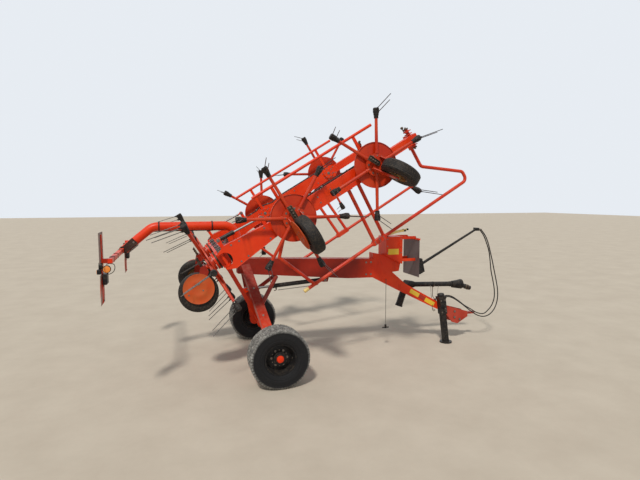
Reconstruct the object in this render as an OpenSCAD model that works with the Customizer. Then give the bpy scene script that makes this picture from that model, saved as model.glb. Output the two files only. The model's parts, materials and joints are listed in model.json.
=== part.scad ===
// Trailed hay tedder with six rotors, folded on its road carriage.
// X runs forward to the drawbar, Y to the left and Z up, in millimetres.
// The rest position is the road position: the rotor frame stands tipped and both wings are folded up.

/* [Road wheels] */
// Distance of the road axle behind the origin
axle_back = 831; // [700:1:1000]
// Distance between the middles of the road wheels
track = 2200; // [2100:10:2400]
// Outer diameter of a road tyre
tyre_d = 770; // [720:10:800]
// Width of a road tyre
tyre_w = 340; // [280:5:360]
// Diameter of a road wheel's rim
rim_d = 406; // [380:2:430]
// Radius of the rounded shoulder of a road tyre
shoulder_r = 45; // [30:1:60]

/* [Carriage] */
// Width of the main beam
beam_w = 180; // [150:5:200]
// Height of the main beam at its rear end
beam_rear_h = 215; // [180:5:240]
// Height of the main beam at its front end
beam_front_h = 295; // [260:5:320]
// Height of the main beam's top over the ground, at its rear end
beam_top_z = 1530; // [1500:5:1560]
// Width of the drawbar
drawbar_w = 150; // [120:5:170]
// Width of a wheel leg, seen from the side
leg_w = 130; // [110:5:140]
// Thickness of a wheel leg
leg_t = 90; // [70:5:100]
// Diameter of the tipping shaft between the legs
shaft_d = 60; // [50:2:70]
// Thickness of the hitch side plates
hitch_t = 12; // [8:1:16]
// Diameter of the hole in the drawbar eye
eye_d = 36; // [30:1:42]
// Thickness of the drawbar eye
eye_t = 30; // [24:1:36]

/* [Parking stand] */
// Outer side of the stand's square sleeve
sleeve_s = 110; // [100:2:120]
// Side of the stand's square leg
stand_s = 84; // [70:2:88]
// Forward lean of the stand, in degrees
stand_lean = 8; // [0:0.5:10]
// Diameter of the stand's foot plate
foot_d = 200; // [160:5:240]

/* [Front end] */
// Width of the front board
board_w = 540; // [480:10:600]
// Height of the front board
board_h = 605; // [560:5:640]
// Diameter of the drive shaft's guard tube
guard_d = 84; // [76:2:90]
// Diameter of the hose carrier tube
carrier_d = 46; // [36:2:54]
// Outer diameter of a hydraulic hose
hose_d = 18; // [14:1:20]

/* [Rear boom] */
// Diameter of the rear boom
boom_d = 120; // [100:5:130]
// Width of a rear board
rear_board_w = 280; // [220:10:320]
// Height of a rear board
rear_board_h = 335; // [300:5:360]

/* [Tipping frame] */
// Angle by which the rotor frame is tipped up for the road, in degrees
tip_angle = 58.5; // [57:0.5:60]
// Distance of the rotor beam behind the tipping shaft, along the frame
beam_back = 1356; // [1340:2:1380]
// Height of the rotor beam's middle over the tipping shaft, square to the frame
beam_up = 63; // [50:1:76]
// Width of the rotor beam
frame_w = 190; // [170:5:210]
// Height of the rotor beam
frame_h = 120; // [110:2:130]
// Distance of each lift arm from the middle
lift_arm_y = 300; // [270:5:330]
// Thickness of a lift arm
lift_arm_t = 40; // [32:2:50]
// Width of a lift arm, seen from the side
lift_arm_w = 50; // [40:2:60]

/* [Wings] */
// Distance from one rotor's axis to the next
pitch = 1300; // [1280:5:1330]
// Distance of a wing's fold pin from the middle
fold_y = 960; // [940:5:980]
// Diameter of a fold pin
fold_pin_d = 40; // [34:2:46]
// Width of a wing beam at its fold pin
wing_root_w = 320; // [300:10:340]
// Height of a wing beam
wing_h = 110; // [100:2:116]
// Diameter of the guard rail along a wing's front
rail_d = 48; // [40:2:54]
// Distance of the guard rail in front of a wing's rotor axes
rail_fwd = 985; // [960:5:1010]

/* [Rotors] */
// Number of tine arms on a rotor
arm_count = 6; // [6:6:6]
// Depth of the tine arms under the rotor beam's middle
arm_drop = 190; // [186:1:196]
// Diameter of a tine arm
arm_d = 46; // [40:2:50]
// Distance from a rotor's axis to the outer end of an arm
arm_reach = 640; // [620:5:660]
// Diameter of a rotor's dish
dish_d = 600; // [540:10:640]
// Diameter of a tine's wire
tine_d = 10; // [8:0.5:12]
// Length of the outer tine of a pair
tine_len = 430; // [400:5:440]
// Outward lean of the tines, in degrees
tine_lean = 14; // [10:0.5:15]

/* [Gauge wheels] */
// Outer diameter of a gauge wheel
gauge_d = 514; // [490:2:530]
// Width of a gauge wheel
gauge_w = 150; // [130:5:156]
// Distance of a gauge wheel in front of its rotor's axis
gauge_fwd = 220; // [210:5:235]
// Turn of the outermost gauge wheels about their stems, in degrees
outer_gauge_turn = 28; // [0:2:40]
// Depth of a gauge wheel's axle under the rotor beam's middle
gauge_drop = 500; // [495:1:508]

/* [Hidden] */

// Each side's name and its sign along Y
SIDES = [["left", 1], ["right", -1]];
// A rotor's place on its side: 0 on the centre frame, 1 and 2 on the wing
PLACES = [0, 1, 2];

RED = "orangered";
DARK_RED = "firebrick";
BLACK = [0.09, 0.09, 0.1];
GREY = "dimgray";
STEEL = "silver";

// Gap at a seat, radial gap at a pin, and gap between pieces that pass each other
seat = 0.3;
pin_gap = 0.3;
pass = 5;
eps = 0.01;
$fn = 48;

wheel_r = tyre_d / 2;
// Tipping shaft's place in front of the road axle and over the ground
shaft_fwd = 14;
shaft_z = 448;

// Main beam's ends along X from the road axle, and its lower edge
beam_rear_x = -380;
beam_front_x = 1780;
beam_fall = 80;
beam_low_x = 1314;

// Leg's upper end, on the beam, and its lower end, at the wheel
leg_top = [-270, beam_w / 2 - 30, 1420];
leg_foot = [0, track / 2 - tyre_w / 2 - 60, wheel_r];
leg_dir = leg_foot - leg_top;
brace_top = [190, beam_w / 2 - 30, 1240];
brace_share = 0.52;
brace_d = 60;
spindle_d = 64;
hub_d = 150;

// Rotor frame's own axes: forward, left and up, from the tipping shaft's middle
function tipped(p) = [
    p[0] * cos(tip_angle) + p[2] * sin(tip_angle) - axle_back + shaft_fwd,
    p[1],
    p[2] * cos(tip_angle) - p[0] * sin(tip_angle) + shaft_z];

// Tip cylinder: its front pin on the main beam, and its rear pin on the rotor frame
tip_front = [960, 1150];
tip_lug = [-660, 100];
tip_cross = [-660, 31];
lug_gap = 36;
lug_t = 12;
eye_r = 30;
eye_pin_d = 26;
tip_barrel_d = 64;
tip_rod_d = 36;
tip_barrel_len = 860;

// Fold cylinder: its pin on the centre frame and its pin on the wing, from the fold pin
fold_base = [110, 112];
fold_lug = [212, 212];
fold_barrel_d = 64;
fold_rod_d = 34;
fold_barrel_len = 560;

// Rotor's heights under the beam's middle
box_r = 112;
box_low = -118;
stem_d = 70;
stem_low = -246;
hub_top = box_low - pass - 2;
hub_low = -214;
flange_r = 150;

// Upper end of each wheel's spindle, past the hub, and half the tipping shaft's length
spindle_len = 60 + tyre_w / 2 + 92;
shaft_reach = leg_top[1] + (leg_top[2] - shaft_z) / (leg_top[2] - leg_foot[2]) * (leg_foot[1] - leg_top[1]);
tip_ear_top = 1230;

// Front end: the head box's seat on the drawbar, the board, the eye and the hose carrier
head_seat = [[1950, 1500], [2215, 1360]];
head_w = 300;
head_top = 1800;
board_x = 2450;
board_top = 1755;
eye_x = 3640;
eye_z = 440;
// Front end of the drawbar's box beam
bar_end = eye_x - 520;
carrier_y = -60;
carrier_tip = [3644, 1887];

// Drive shaft, parked along the drawbar's left side
drive_y = 165;
drive_rear = [2500, 0, 958];
drive_front = [eye_x - 220, 0, 918];
drive_tip = [eye_x + 60, 0, 830];
drop_top = [2440, 0, 945];
drop_low = [2330, 0, 625];
drop_d = 110;
stub_x = 2411;
stub_z = 861;
cradle_x = bar_end - 160;
stand_x = bar_end - 155;
stand_z = 640;

// Rear boom's mast, its height and its lower end, and the boards on it
mast_x = -310;
boom_z = 2013;
boom_end = [-1890, 1706];
strap_x = -2006;
rear_board_y = 1190;
lower_board_z = 1225;
upper_board_z = 1690;

// Fold hinge's ears and the wing's cheeks outside them, and the fold cylinder's pins
ear_x = 82;
ear_t = 20;
ear_h = 80;
cheek_x = ear_x + ear_t / 2 + 6;
cheek_t = 12;
// Half widths of a wing beam at its inner and its outer rotor
inner_half = 95;
outer_half = 105;
fold_gap = 32;
fold_pin = 24;
rail_up = 195;
axle_d = 30;

// Free hoses from the carrier's tip down and round to two sockets on the drawbar, and the pull cord
hose_rest = [bar_end - 90, 645];
hose_ends = [-55, -20];
function hose_route(start, y, inner) = [
    [carrier_tip[0] + 22.5, start, 1882], [3720, start, 1868], [3800, start - 5, 1770], [3860, start - 10, 1640],
    [3915, y, 1490], [3965 - inner / 2, y, 1320], [4010 - inner, y, 1150], [4055 - inner, y, 980],
    [4090 - inner, y, 810], [4090 - inner, y, 650 + inner / 2], [4040 - inner, y, 500 + inner],
    [3940 - inner, y, 400 + inner], [3820, y, 370 + inner], [3700, y, 400 + inner], [3580, y, 470 + inner],
    [3460, y + 5, 560 + inner / 2], [3340, y + 15, 650 + inner / 2], [3220, y + 25, 725 + inner / 2],
    [3120, y + 30, 755 + inner / 3], [3060, y + 30, 740 + inner / 4], [3034, y + 30, 705],
    [3030, y + 30, 675], [3030, y + 30, 645]];
cord_x = 1965;
cord_y = 90;
cord_top = 1100;
cord_low = 380;

// Distances from the fold pin to the wing's two rotors and to its tip
function rotor_y(place) = place == 0 ? pitch / 2 : (place + 0.5) * pitch - fold_y;
wing_tip_y = rotor_y(2) + 775;

module carriage() { translate([-axle_back, 0, 0]) children(); }
module on_side(s) { mirror([0, s < 0 ? 1 : 0, 0]) children(); }
module tipped_frame() {
    translate([-axle_back + shaft_fwd, 0, shaft_z]) rotate([0, tip_angle, 0]) children();
}
// The rotor beam's own axes, with the origin at its middle
module rotor_beam() { tipped_frame() translate([-beam_back, 0, beam_up]) children(); }
// A wing's axes as it lies at work, with the origin at its fold pin, folded up about that pin
module wing(s) { rotor_beam() on_side(s) translate([0, fold_y, 0]) rotate([90, 0, 0]) children(); }
// The beam's axes moved to a rotor, on the centre frame or on a wing
module at_rotor(s, place) {
    if (place == 0) rotor_beam() on_side(s) translate([0, rotor_y(0), 0]) children();
    else wing(s) translate([0, rotor_y(place), 0]) children();
}

// A round bar from point a to point b
module bar(a, b, d, d2 = 0) {
    v = b - a;
    translate(a) rotate([0, acos(v[2] / norm(v)), atan2(v[1], v[0])])
        cylinder(h = norm(v), d1 = d, d2 = d2 > 0 ? d2 : d);
}
// A square bar from a to b, with its width across X and its thickness across the rest
module box_bar(a, b, w, t) {
    v = b - a;
    side = atan2(v[1], v[2]);
    translate(a) rotate([-side, 0, 0]) rotate([0, atan2(v[0], norm([v[1], v[2]])), 0])
        translate([-w / 2, -t / 2, 0]) cube([w, t, norm(v)]);
}
// A bent round tube through a list of points
module tube(points, d) {
    for (i = [1:len(points) - 1]) bar(points[i - 1], points[i], d);
    for (i = [1:len(points) - 2]) translate(points[i]) sphere(d = d);
}
// A round tube in the XY plane, through points, with true bends of radius r at the middle ones
function turn(p, i) =
    let (a = p[i] - p[i - 1], b = p[i + 1] - p[i]) atan2(a[0] * b[1] - a[1] * b[0], a * b);
module flat_tube(p, d, r) {
    last = len(p) - 1;
    cut = [for (i = [0:last]) i == 0 || i == last ? 0 : r * tan(abs(turn(p, i)) / 2)];
    for (i = [1:last]) {
        dir = unit(p[i] - p[i - 1]);
        translate(concat(p[i - 1] + cut[i - 1] * dir, 0)) rotate([0, 90, atan2(dir[1], dir[0])])
            cylinder(h = norm(p[i] - p[i - 1]) - cut[i - 1] - cut[i], d = d);
        if (i < last) {
            t = turn(p, i);
            side = t > 0 ? 1 : -1;
            normal = side * [-dir[1], dir[0]];
            translate(concat(p[i] - cut[i] * dir + r * normal, 0))
                rotate([0, 0, atan2(-normal[1], -normal[0]) + min(t, 0)])
                rotate_extrude(angle = abs(t)) translate([r, 0]) circle(d = d);
        }
    }
}
// A plate drawn in X and Z and centred on Y
module side_plate(points, t) {
    rotate([90, 0, 0]) translate([0, 0, -t / 2]) linear_extrude(t) polygon(points);
}
module along_y(d, l) { rotate([90, 0, 0]) cylinder(h = l, d = d, center = true); }
module along_x(d, l) { rotate([0, 90, 0]) cylinder(h = l, d = d, center = true); }

// Swept round tube along a list of points, for hoses and cords
sides = 8;
function unit(v) = v / norm(v);
function heading(p, i) =
    unit(i == 0 ? p[1] - p[0] : i == len(p) - 1 ? p[i] - p[i - 1] : p[i + 1] - p[i - 1]);
function ring(c, dir, r) =
    let (a = unit(cross(dir, [0, 1, 0])), b = cross(dir, a))
    [for (k = [0:sides - 1]) c + r * (cos(360 * k / sides) * a + sin(360 * k / sides) * b)];
module swept(p, d) {
    n = len(p);
    polyhedron(
        points = [for (i = [0:n - 1]) each ring(p[i], heading(p, i), d / 2)],
        faces = concat(
            [[for (k = [0:sides - 1]) sides - 1 - k]],
            [for (i = [0:n - 2], k = [0:sides - 1]) let (m = (k + 1) % sides)
                [i * sides + k, i * sides + m, (i + 1) * sides + m, (i + 1) * sides + k]],
            [[for (k = [0:sides - 1]) (n - 1) * sides + k]]));
}

module chassis_frame() {
    low_z = beam_top_z - beam_rear_h;
    front_z = beam_top_z - beam_fall;
    front_low_z = front_z - beam_front_h;
    color(RED) carriage() {
        side_plate([
            [beam_rear_x, low_z], [beam_rear_x, beam_top_z], [beam_rear_x + 180, beam_top_z],
            [beam_front_x, front_z], [beam_front_x, front_low_z], [beam_low_x, front_low_z + 8]], beam_w);
        side_plate([
            [beam_front_x - 40, front_low_z], [beam_front_x - 40, front_z + 95], head_seat[0], head_seat[1],
            [2190, 1240], [2075, 1228], [2321, 1017], [bar_end, 572], [bar_end - 48, 490],
            [bar_end - 254, 583], [2204, 915]], drawbar_w);
        for (side = SIDES) on_side(side[1]) {
            box_bar(leg_top, leg_foot, leg_w, leg_t);
            translate(leg_foot) rotate([-90, 0, 0]) cylinder(h = spindle_len, d = spindle_d);
            translate(leg_foot) along_y(hub_d, 80);
            bar(brace_top, leg_top + brace_share * leg_dir, brace_d);
            translate([tip_front[0], lug_gap + lug_t / 2, 0])
                side_plate([[-70, tip_ear_top], [-40, tip_front[1] - 30], [40, tip_front[1] - 30],
                    [70, tip_ear_top]], lug_t);
        }
        translate([shaft_fwd, 0, shaft_z]) along_y(shaft_d, 2 * shaft_reach);
        translate([tip_front[0], 0, tip_front[1]]) along_y(eye_pin_d, 2 * (lug_gap + lug_t) + 16);
        translate([cord_x - 8, -cord_y - 8, cord_top]) cube([16, 8 + cord_y - drawbar_w / 2 + 1, 12]);
        for (y = hose_ends) translate([hose_rest[0], y, hose_rest[1] - 40]) cylinder(h = 40, d = 34);
        translate([stub_x, drawbar_w / 2 - 1, stub_z]) rotate([-90, 0, 0])
            cylinder(h = drive_y - drop_d / 2 - seat - drawbar_w / 2 + 1, d = 70);
    }
}

module tow_hitch() {
    color(DARK_RED) carriage() {
        for (y = [-1, 1]) translate([0, y * (drawbar_w + hitch_t) / 2, 0]) difference() {
            translate([bar_end, 0, eye_z]) side_plate([[-64, 180], [0, 150], [360, 50], [380, -40], [180, -150],
                [70, -115], [-60, 55]], hitch_t);
            for (p = [[120, 60], [120, -40], [220, -80]])
                translate([bar_end + p[0], 0, eye_z + p[1]]) along_y(24, 3 * hitch_t);
        }
        translate([bar_end + 270, -drawbar_w / 2, eye_z - 45]) cube([80, drawbar_w, 90]);
        translate([0, 0, eye_z - eye_t / 2]) difference() {
            union() {
                translate([bar_end + 340, -40, 0]) cube([eye_x - bar_end - 340, 80, eye_t]);
                translate([eye_x, 0, 0]) cylinder(h = eye_t, d = 2.6 * eye_d);
            }
            translate([eye_x, 0, -eye_t]) cylinder(h = 3 * eye_t, d = eye_d);
        }
    }
}

module head_box() {
    box_front = head_seat[1][0];
    color(RED) carriage() {
        side_plate([head_seat[0], head_seat[1], [box_front, head_top], [head_seat[0][0] - 15, head_top],
            [head_seat[0][0] - 15, head_seat[0][1] + 4]], head_w);
        for (y = [-1, 1], z = [head_top - 45, 1400])
            translate([box_front, y * (head_w / 2 - 10) - 5, z]) cube([board_x - box_front, 10, 45]);
        translate([box_front - 60, -head_w / 2 - 14, 1640]) cube([40, 14, 70]);
    }
}

module front_board() {
    color(GREY) carriage()
        translate([board_x, -board_w / 2, board_top - board_h]) cube([4, board_w, board_h]);
}

module hose_carrier() {
    color(BLACK) carriage() translate([0, carrier_y, 0]) {
        side_plate([[board_x + 4, 1450], [2600, 1425], [2650, 1210], [2560, 1165], [board_x + 4, 1250]], 90);
        bar([2590, 0, 1320], [carrier_tip[0], 0, carrier_tip[1]], carrier_d, 0.75 * carrier_d);
        translate([carrier_tip[0] - 30, -50, carrier_tip[1] - 30]) cube([50, 100, 50]);
    }
}

module drive_shaft() {
    color(BLACK) carriage() translate([0, drive_y, 0]) {
        bar(drive_rear, drive_front, guard_d);
        bar(drive_rear - [70, 0, -3], drive_rear + [90, 0, -4], 150, 104);
        bar(drive_front - [90, 0, -4], drive_front + [100, 0, -6], 104, 164);
        bar(drive_front + [60, 0, -10], drive_tip, 76);
        bar(drop_top, drop_low, drop_d);
        bar(drop_low, drop_low + [-8, 0, -24], drop_d + 16);
    }
}

module shaft_cradle() {
    rod_d = 12;
    share = (cradle_x - drive_rear[0]) / (drive_front[0] - drive_rear[0]);
    axis_z = drive_rear[2] + share * (drive_front[2] - drive_rear[2]);
    ring_r = guard_d / 2 + rod_d / 2 + 2 * seat;
    color(GREY) carriage() translate([cradle_x, 0, 0]) {
        translate([0, drive_y, axis_z]) rotate([90, 0, 90]) rotate([0, 0, 180])
            rotate_extrude(angle = 180) translate([ring_r, 0]) circle(d = rod_d);
        tube([[0, drive_y, axis_z - ring_r], [0, drive_y, 735], [0, drawbar_w / 2 + 2, 680]], rod_d);
        translate([-25, drawbar_w / 2, 655]) cube([50, 4, 50]);
    }
}

module stand_axis() {
    carriage() translate([stand_x, -(drawbar_w + sleeve_s) / 2, stand_z]) rotate([0, -stand_lean, 0]) children();
}
module stand_sleeve() {
    bore = stand_s + 1;
    color(BLACK) stand_axis() difference() {
        union() {
            translate([-sleeve_s / 2, -sleeve_s / 2, -150]) cube([sleeve_s, sleeve_s, 300]);
            translate([-sleeve_s / 2 - 14, -sleeve_s / 2, 110]) cube([sleeve_s + 28, sleeve_s, 40]);
            translate([0, -sleeve_s / 2 - 15, -40]) along_y(26, 40);
        }
        translate([-bore / 2, -bore / 2, -160]) cube([bore, bore, 320]);
    }
}
module stand_leg() {
    foot_z = stand_z / cos(stand_lean);
    color(BLACK) {
        stand_axis() translate([-stand_s / 2, -stand_s / 2, -foot_z + 12]) cube([stand_s, stand_s, foot_z + 128]);
        carriage() translate([stand_x + stand_z * tan(stand_lean), -(drawbar_w + sleeve_s) / 2, 0])
            cylinder(h = 22, d = foot_d);
    }
}

module rear_boom() {
    bar_s = 50;
    color(RED) carriage() {
        translate([beam_rear_x, -80, beam_top_z]) cube([170, 160, 14]);
        difference() {
            rotate([90, 0, 0]) flat_tube([[mast_x + 2, beam_top_z - 5], [mast_x - 95, boom_z], [-1520, boom_z],
                boom_end], boom_d, 200);
            translate([beam_rear_x - 50, -boom_d, beam_top_z - 60]) cube([300, 2 * boom_d, 60]);
        }
        for (x = [-724, -1100, -1440]) translate([x, 0, boom_z]) along_x(boom_d + 16, 14);
        translate([boom_end[0] - bar_s, -rear_board_y - 30, boom_end[1] - bar_s / 2])
            cube([bar_s, 2 * rear_board_y + 60, bar_s]);
        for (side = SIDES) on_side(side[1]) {
            translate([strap_x, rear_board_y - 20, boom_end[1] - bar_s / 2])
                cube([boom_end[0] - bar_s - strap_x, 40, bar_s]);
            translate([strap_x, rear_board_y - 25, lower_board_z + 15])
                cube([10, 50, (side[1] < 0 ? upper_board_z + 310 : boom_end[1] + 20) - lower_board_z - 15]);
        }
    }
}
module rear_boards() {
    board_t = 4;
    // Side and lower edge of each board
    boards = [[1, lower_board_z], [-1, lower_board_z], [-1, upper_board_z]];
    color(GREY) carriage() for (b = boards)
        translate([strap_x - board_t, b[0] * rear_board_y - rear_board_w / 2, b[1]])
            cube([board_t, rear_board_w, rear_board_h]);
}
module rear_lamps() {
    color("orange") carriage() for (side = SIDES) on_side(side[1]) {
        translate([strap_x - 14, rear_board_y, lower_board_z + rear_board_h + 92]) along_x(76, 28);
        translate([strap_x - 45, rear_board_y - 50, lower_board_z + rear_board_h + 5]) cube([45, 100, 46]);
    }
}

module tyre(s) {
    bead = rim_d / 2;
    half = tyre_w / 2;
    wall = [for (a = [0:22.5:90])
        [wheel_r - shoulder_r * (1 - cos(a)) - 4 * sin(a), half - shoulder_r * (1 - sin(a))]];
    profile = concat([[bead, half - 26], [bead + 30, half - 8], [wheel_r - 105, half]],
        [for (i = [4:-1:0]) wall[i]]);
    color(BLACK) road_wheel(s) rotate_extrude($fn = 72)
        polygon(concat(profile, [for (i = [len(profile) - 1:-1:0]) [profile[i][0], -profile[i][1]]]));
}
module rim(s) {
    r = rim_d / 2 - seat;
    half = tyre_w / 2 - 26;
    bore_r = spindle_d / 2 + pin_gap;
    color(GREY) road_wheel(s) {
        rotate_extrude() polygon([
            [r, half], [r - 14, half], [r - 30, half - 60], [r - 36, 30], [120, 42], [84, 42], [84, 96],
            [bore_r, 96], [bore_r, -88], [84, -88], [84, 24], [120, 24], [r - 36, 10], [r - 36, -half + 60],
            [r - 14, -half], [r, -half]]);
        translate([0, 0, 96]) cylinder(h = 14, r = 62);
    }
}
// Axes of a road wheel: the origin at its middle and Z outward along its axle
module road_wheel(s) {
    carriage() on_side(s) translate([0, track / 2, wheel_r]) rotate([-90, 0, 0]) children();
}

// Axes of the tip cylinder: the origin at its front pin and X towards its rod's eye
tip_rear = tipped([tip_lug[0], 0, tip_lug[1]]) + [axle_back, 0, 0];
tip_span = [tip_rear[0] - tip_front[0], tip_rear[2] - tip_front[1]];
module tip_axis() {
    carriage() translate([tip_front[0], 0, tip_front[1]])
        rotate([0, atan2(-tip_span[1], tip_span[0]), 0]) children();
}
module tip_barrel() {
    color(BLACK) tip_axis() difference() {
        union() {
            along_y(2 * eye_r, 2 * (lug_gap - pass));
            translate([tip_barrel_len / 2, 0, 0]) along_x(tip_barrel_d, tip_barrel_len - 2 * eye_r + 20);
            translate([eye_r, 0, 0]) along_x(0.8 * tip_barrel_d, 2 * eye_r);
        }
        along_y(eye_pin_d + 2 * pin_gap, 4 * lug_gap);
        translate([tip_barrel_len / 2 + 80, 0, 0]) along_x(tip_rod_d + 2 * pin_gap, tip_barrel_len);
    }
}
module tip_rod() {
    l = norm(tip_span);
    inside = 330;
    color(STEEL) tip_axis() {
        translate([(l + inside - eye_r) / 2, 0, 0]) along_x(tip_rod_d, l - inside - eye_r);
        translate([l, 0, 0]) along_y(2 * eye_r, 2 * (lug_gap - pass));
        translate([l - 1.3 * eye_r, 0, 0]) along_x(1.4 * tip_rod_d, eye_r);
        translate([l, 0, 0]) along_y(eye_pin_d, 2 * (lug_gap - seat));
    }
}

// Gearbox under the rotor beam, its cap on top, and the fixed stem that carries the gauge wheel
module gearbox(top) {
    translate([0, 0, box_low]) cylinder(h = top - box_low, r = box_r);
    translate([0, 0, top]) cylinder(h = 34, r1 = 92, r2 = 78);
    translate([0, 0, stem_low]) cylinder(h = box_low - stem_low + 1, d = stem_d);
}
// Two ears with a pin across X, standing on z = 0 at y = 0
module pin_ears(height, half_gap, pin_d, solid_pin) {
    difference() {
        for (x = [-1, 1]) translate([x * (half_gap + 5), 0, 0]) {
            translate([-5, -30, 0]) cube([10, 60, height]);
            translate([0, 0, height]) along_x(60, 10);
        }
        if (!solid_pin) translate([0, 0, height]) along_x(pin_d + 2 * pin_gap, 4 * half_gap);
    }
    if (solid_pin) translate([0, 0, height]) along_x(pin_d, 2 * half_gap + 34);
}

module centre_frame() {
    beam_end = fold_y - 65;
    color(RED) {
        rotor_beam() {
            translate([-frame_w / 2, -beam_end, -frame_h / 2]) cube([frame_w, 2 * beam_end, frame_h]);
            for (side = SIDES) on_side(side[1]) {
                translate([0, rotor_y(0), 0]) gearbox(frame_h / 2);
                for (x = [-1, 1]) translate([x * ear_x, 0, 0]) {
                    translate([-ear_t / 2, beam_end - 40, -ear_h / 2]) cube([ear_t, 105, ear_h]);
                    translate([0, fold_y, 0]) along_x(ear_h, ear_t);
                }
                translate([0, fold_y, 0]) along_x(fold_pin_d, 2 * (cheek_x + cheek_t) + 28);
                translate([0, fold_base[0], frame_h / 2])
                    pin_ears(fold_base[1] - frame_h / 2, fold_gap, fold_pin, true);
            }
        }
        tipped_frame() {
            for (side = SIDES) translate([0, side[1] * lift_arm_y, 0]) difference() {
                union() {
                    side_plate([[0, -lift_arm_w / 2], [-beam_back + 330, 0.76 * beam_up - lift_arm_w / 2],
                        [-beam_back + frame_w / 2 - 5, beam_up - 55], [-beam_back + frame_w / 2 - 5, beam_up + 55],
                        [-beam_back + 330, 0.76 * beam_up + lift_arm_w / 2], [0, lift_arm_w / 2]], lift_arm_t);
                    along_y(shaft_d + 44, lift_arm_t + 24);
                }
                along_y(shaft_d + 2 * pin_gap, 3 * lift_arm_t);
            }
            translate([tip_cross[0], 0, tip_cross[1]]) along_y(44, 2 * lift_arm_y);
            for (y = [-1, 1]) translate([tip_lug[0], y * (lug_gap + lug_t / 2), 0]) difference() {
                union() {
                    translate([-30, -lug_t / 2, tip_cross[1]]) cube([60, lug_t, tip_lug[1] - tip_cross[1]]);
                    translate([0, 0, tip_lug[1]]) along_y(60, lug_t);
                }
                translate([0, 0, tip_lug[1]]) along_y(eye_pin_d + 2 * pin_gap, 3 * lug_t);
            }
        }
    }
}

// Fork under a rotor's stem: crown, two side plates, axle, and on some a round guard plate
module stay(guard_side) {
    plate_y = gauge_w / 2 + 7;
    plate_t = 12;
    color(RED) {
        translate([-50, -plate_y - plate_t, stem_low - 24]) cube([100, 2 * (plate_y + plate_t), 24]);
        for (y = [-1, 1]) translate([0, y * (plate_y + plate_t / 2), 0])
            side_plate([[-50, stem_low], [50, stem_low], [gauge_fwd + 32, -gauge_drop + 20],
                [gauge_fwd + 20, -gauge_drop - 26], [gauge_fwd - 24, -gauge_drop - 22], [-50, stem_low - 60]],
                plate_t);
        translate([gauge_fwd, 0, -gauge_drop]) along_y(axle_d, 2 * (plate_y + plate_t));
        if (guard_side != 0)
            translate([gauge_fwd - 50, guard_side * (plate_y + plate_t + 2), -gauge_drop + 30])
                along_y(390, 4);
    }
}
module centre_stays() { for (side = SIDES) at_rotor(side[1], 0) stay(1); }
module wing_stays(s) {
    at_rotor(s, 1) stay(-1);
    at_rotor(s, 2) rotate([0, 0, outer_gauge_turn]) stay(0);
}

// Strut along a wing beam's rear side: its two ends from the fold pin, its sleeve's end and its brackets
strut_near = [-250, 60];
strut_far = [-206, 660];
strut_sleeve = 0.36;
module adjusting_strut() {
    v = strut_far - strut_near;
    middle = strut_near + strut_sleeve * v;
    bar(concat(strut_near, 0), concat(middle, 0), 50);
    bar(concat(middle, 0), concat(strut_far, 0), 26);
    for (p = [strut_near, strut_far]) {
        translate([p[0], p[1], 0]) cylinder(h = 56, d = 56, center = true);
        translate([p[0], p[1] - 22, -28]) cube([-cheek_x - 2 - p[0], 44, 12]);
        translate([p[0], p[1] - 22, 16]) cube([-cheek_x - 2 - p[0], 44, 12]);
    }
}
module wing_beam(s) {
    root = wing_root_w / 2;
    root_y = 62;
    end_y = -46;
    plate_t = 9;
    // Half width of the beam at each distance from the fold pin
    half = [[root, root_y], [inner_half, 760], [inner_half, 1080], [70, 1190], [outer_half, 1330],
        [outer_half, 2390], [60, 2450], [60, wing_tip_y]];
    end_half = cheek_x + cheek_t;
    color(RED) wing(s) {
        difference() {
            union() {
                translate([0, 0, -wing_h / 2]) linear_extrude(wing_h) polygon(
                    concat(half, [for (i = [len(half) - 1:-1:0]) [-half[i][0], half[i][1]]]));
                translate([0, 0, -wing_h / 2]) linear_extrude(plate_t) polygon([[-root, root_y + 1],
                    [-end_half, end_y], [end_half, end_y], [root, root_y + 1]]);
                for (x = [-1, 1]) translate([x * (cheek_x + cheek_t / 2), 0, 0]) {
                    translate([-cheek_t / 2, end_y, -wing_h / 2]) cube([cheek_t, root_y - end_y + 1, wing_h]);
                    translate([x * 5, 0, 0]) along_x(78, cheek_t + 4);
                }
            }
            // Round opening under the pin, through the lower plate and into the beam
            translate([0, 0, -wing_h / 2 - eps]) cylinder(h = wing_h - plate_t, r = cheek_x - 3);
            along_x(fold_pin_d + 2 * pin_gap, 4 * cheek_x);
        }
        adjusting_strut();
        for (place = [1, 2]) {
            translate([0, rotor_y(place), 0]) gearbox(wing_h / 2);
            translate([-460, rotor_y(place) - 20, wing_h / 2 + 10]) cube([400, 40, 22]);
        }
        translate([-460, 700, wing_h / 2 + 20]) rotate([-90, 0, 0]) cylinder(h = 1900, d = 40);
        translate([0, fold_lug[0], 0]) translate([0, 0, wing_h / 2 - 1])
            pin_ears(fold_lug[1] - wing_h / 2 + 1, fold_gap, fold_pin, false);
        translate([-60, wing_tip_y - 60, wing_h / 2 - 1]) cube([120, 60, rail_up - wing_h / 2 - 29]);
        translate([-60, wing_tip_y - 60, rail_up - 30]) cube([210, 60, 60]);
    }
}

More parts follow.
